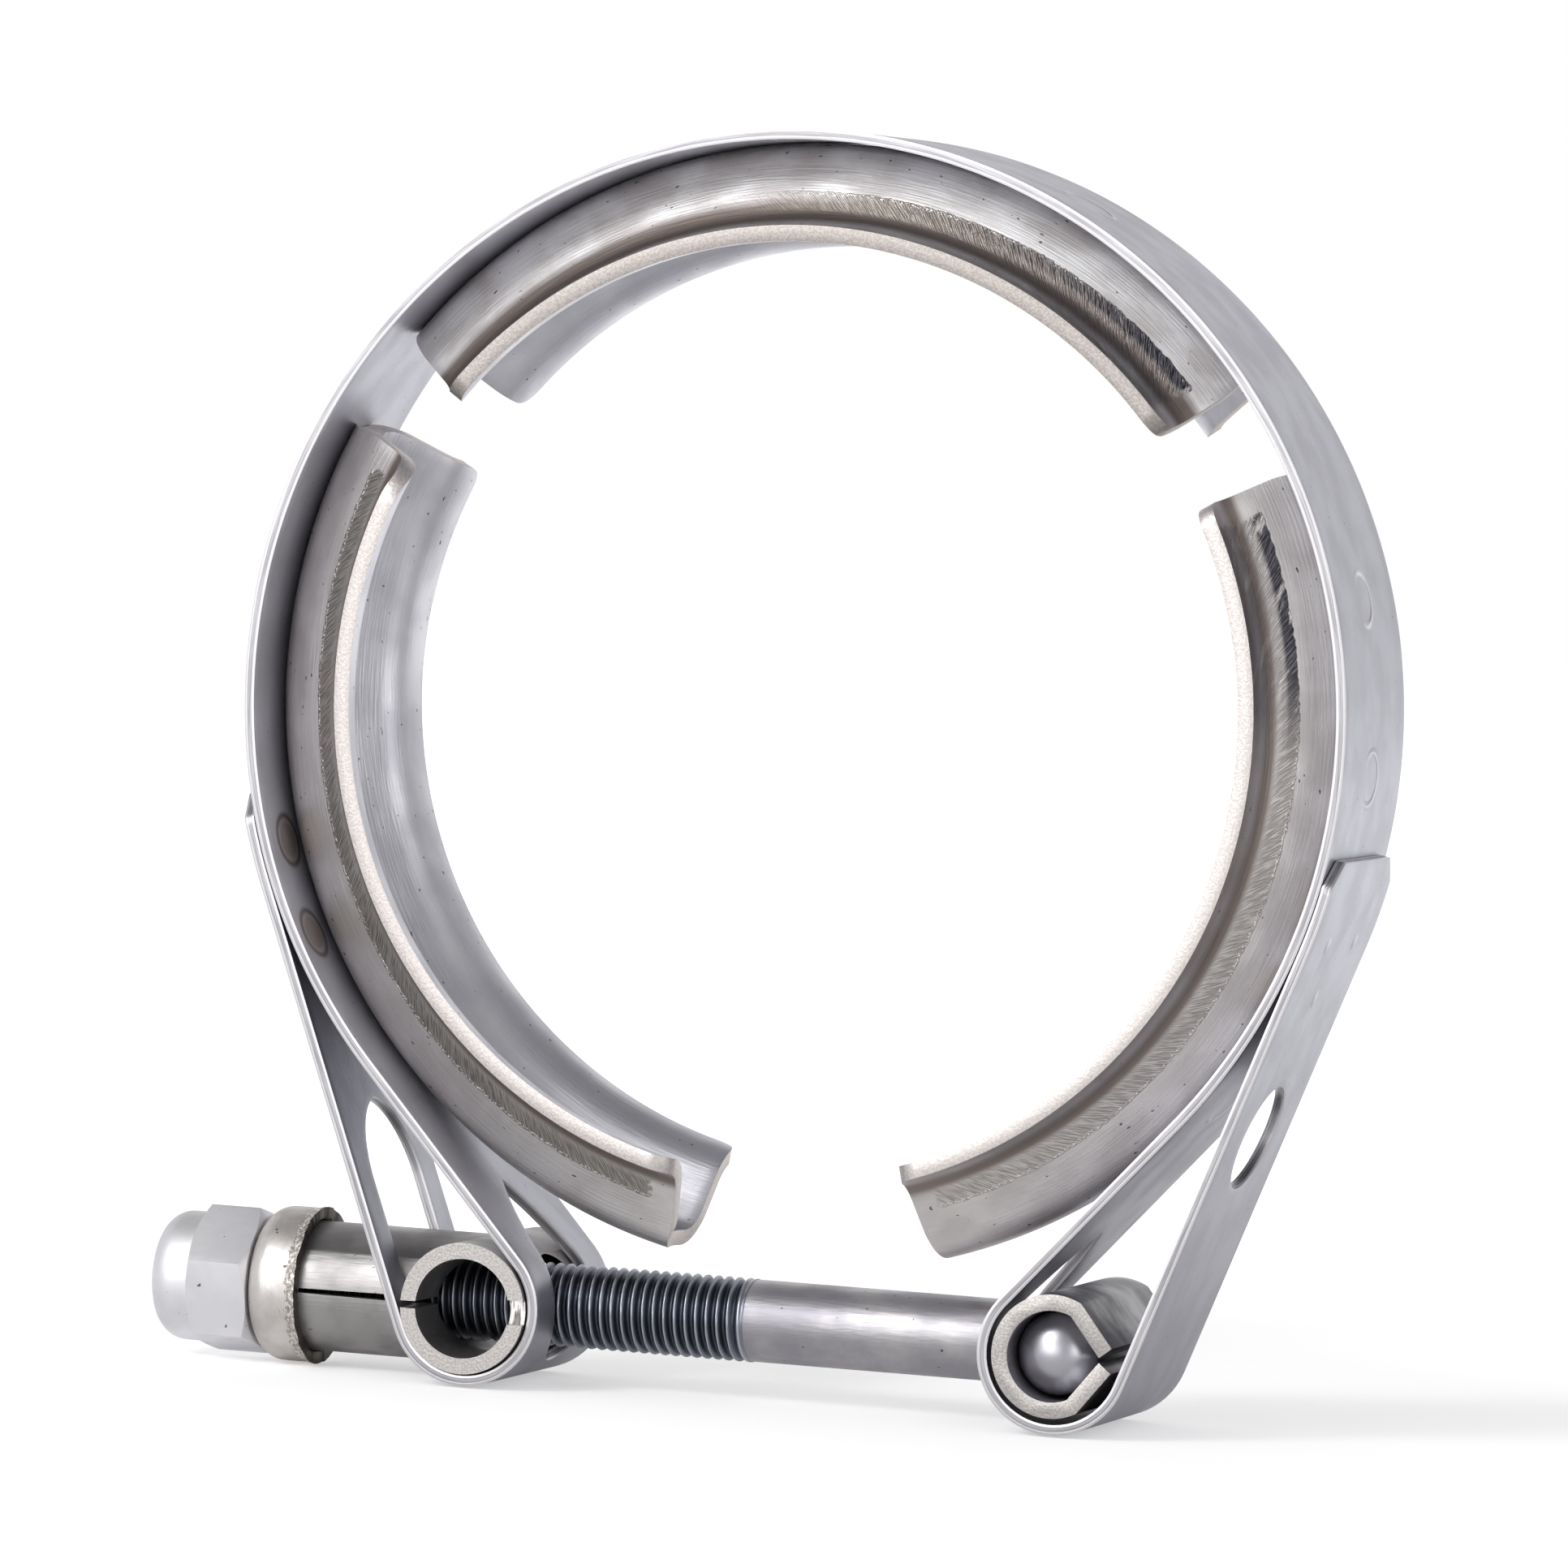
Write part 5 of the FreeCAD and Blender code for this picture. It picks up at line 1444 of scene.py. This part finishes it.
corners = [(x, y, 0) for x, y in ((-1, -1), (1, -1), (1, 1), (-1, 1))]
floor = mesh_object("floor", np.array(corners) * FLOOR_HALF, [(0, 1, 2, 3)])
floor.location.z = cad_low.z
dress(floor, floor_paint())
print("floor at", round(floor.location.z / MM, 2), "mm")

# %% Surround
# Each pair is a direction, from -1 in front to 1 behind or above, and the light there
ROOM_FRONT = (-0.95, 0.4)
ROOM_BACK = (-0.1, 0.72)
ROOM_SIDE = (0.45, 1.0)
CEILING = (0.95, 0.4)


def make_surround():
    """White for the camera, and behind the clamp for the metal too. The rest is a dimmer room."""
    world = bpy.data.worlds.new("surround")
    bpy.context.scene.world = world
    world.use_nodes = True
    tree = world.node_tree
    tree.nodes.clear()
    camera_ray = add(tree, "ShaderNodeLightPath").outputs["Is Camera Ray"]
    way = add(tree, "ShaderNodeTexCoord").outputs["Generated"]
    _, back, up = add(tree, "ShaderNodeSeparateXYZ", [way]).outputs
    room = []
    for place, (start, dim), (end, bright) in ((back, ROOM_FRONT, ROOM_BACK), (up, ROOM_SIDE, CEILING)):
        mask = where(tree, (place, start, end))
        room.append(lay(tree, {"light": dim}, mask, light=bright)["light"])
    white = [where(tree, (back, 0.5, 0.9), mirrored(tree)), camera_ray]
    white = add(tree, "ShaderNodeMath", white, operation="MAXIMUM")
    light = add(tree, "ShaderNodeMath", [where(tree, *room), white], operation="MAXIMUM")
    shade = add(tree, "ShaderNodeBackground", {"Color": linear("ffffff"), "Strength": light})
    add(tree, "ShaderNodeOutputWorld", {"Surface": shade})


make_surround()


# %% Lamps
def make_lamp(name, azimuth, elevation, distance, wide, high, power):
    """A soft lamp that looks at the clamp. Its distance and size are in metres."""
    data = bpy.data.lights.new(name, "AREA")
    data.shape = "RECTANGLE"
    data.size, data.size_y = wide, high
    data.energy = power
    away = arrow(azimuth, elevation)
    stand(put(name, data), away * distance, away)
    print("lamp", name, power, "W")


make_lamp("key", -26, 24, 1.04, 0.6, 1.0, 3.4)
make_lamp("key_core", -29, 33, 1.03, 0.22, 0.28, 1.7)
make_lamp("fill", 50, -2, 1.0, 0.5, 0.7, 2.3)
make_lamp("low_front", -8, 6, 1.05, 0.5, 0.4, 0.9)
bpy.context.scene.view_settings.view_transform = "Standard"
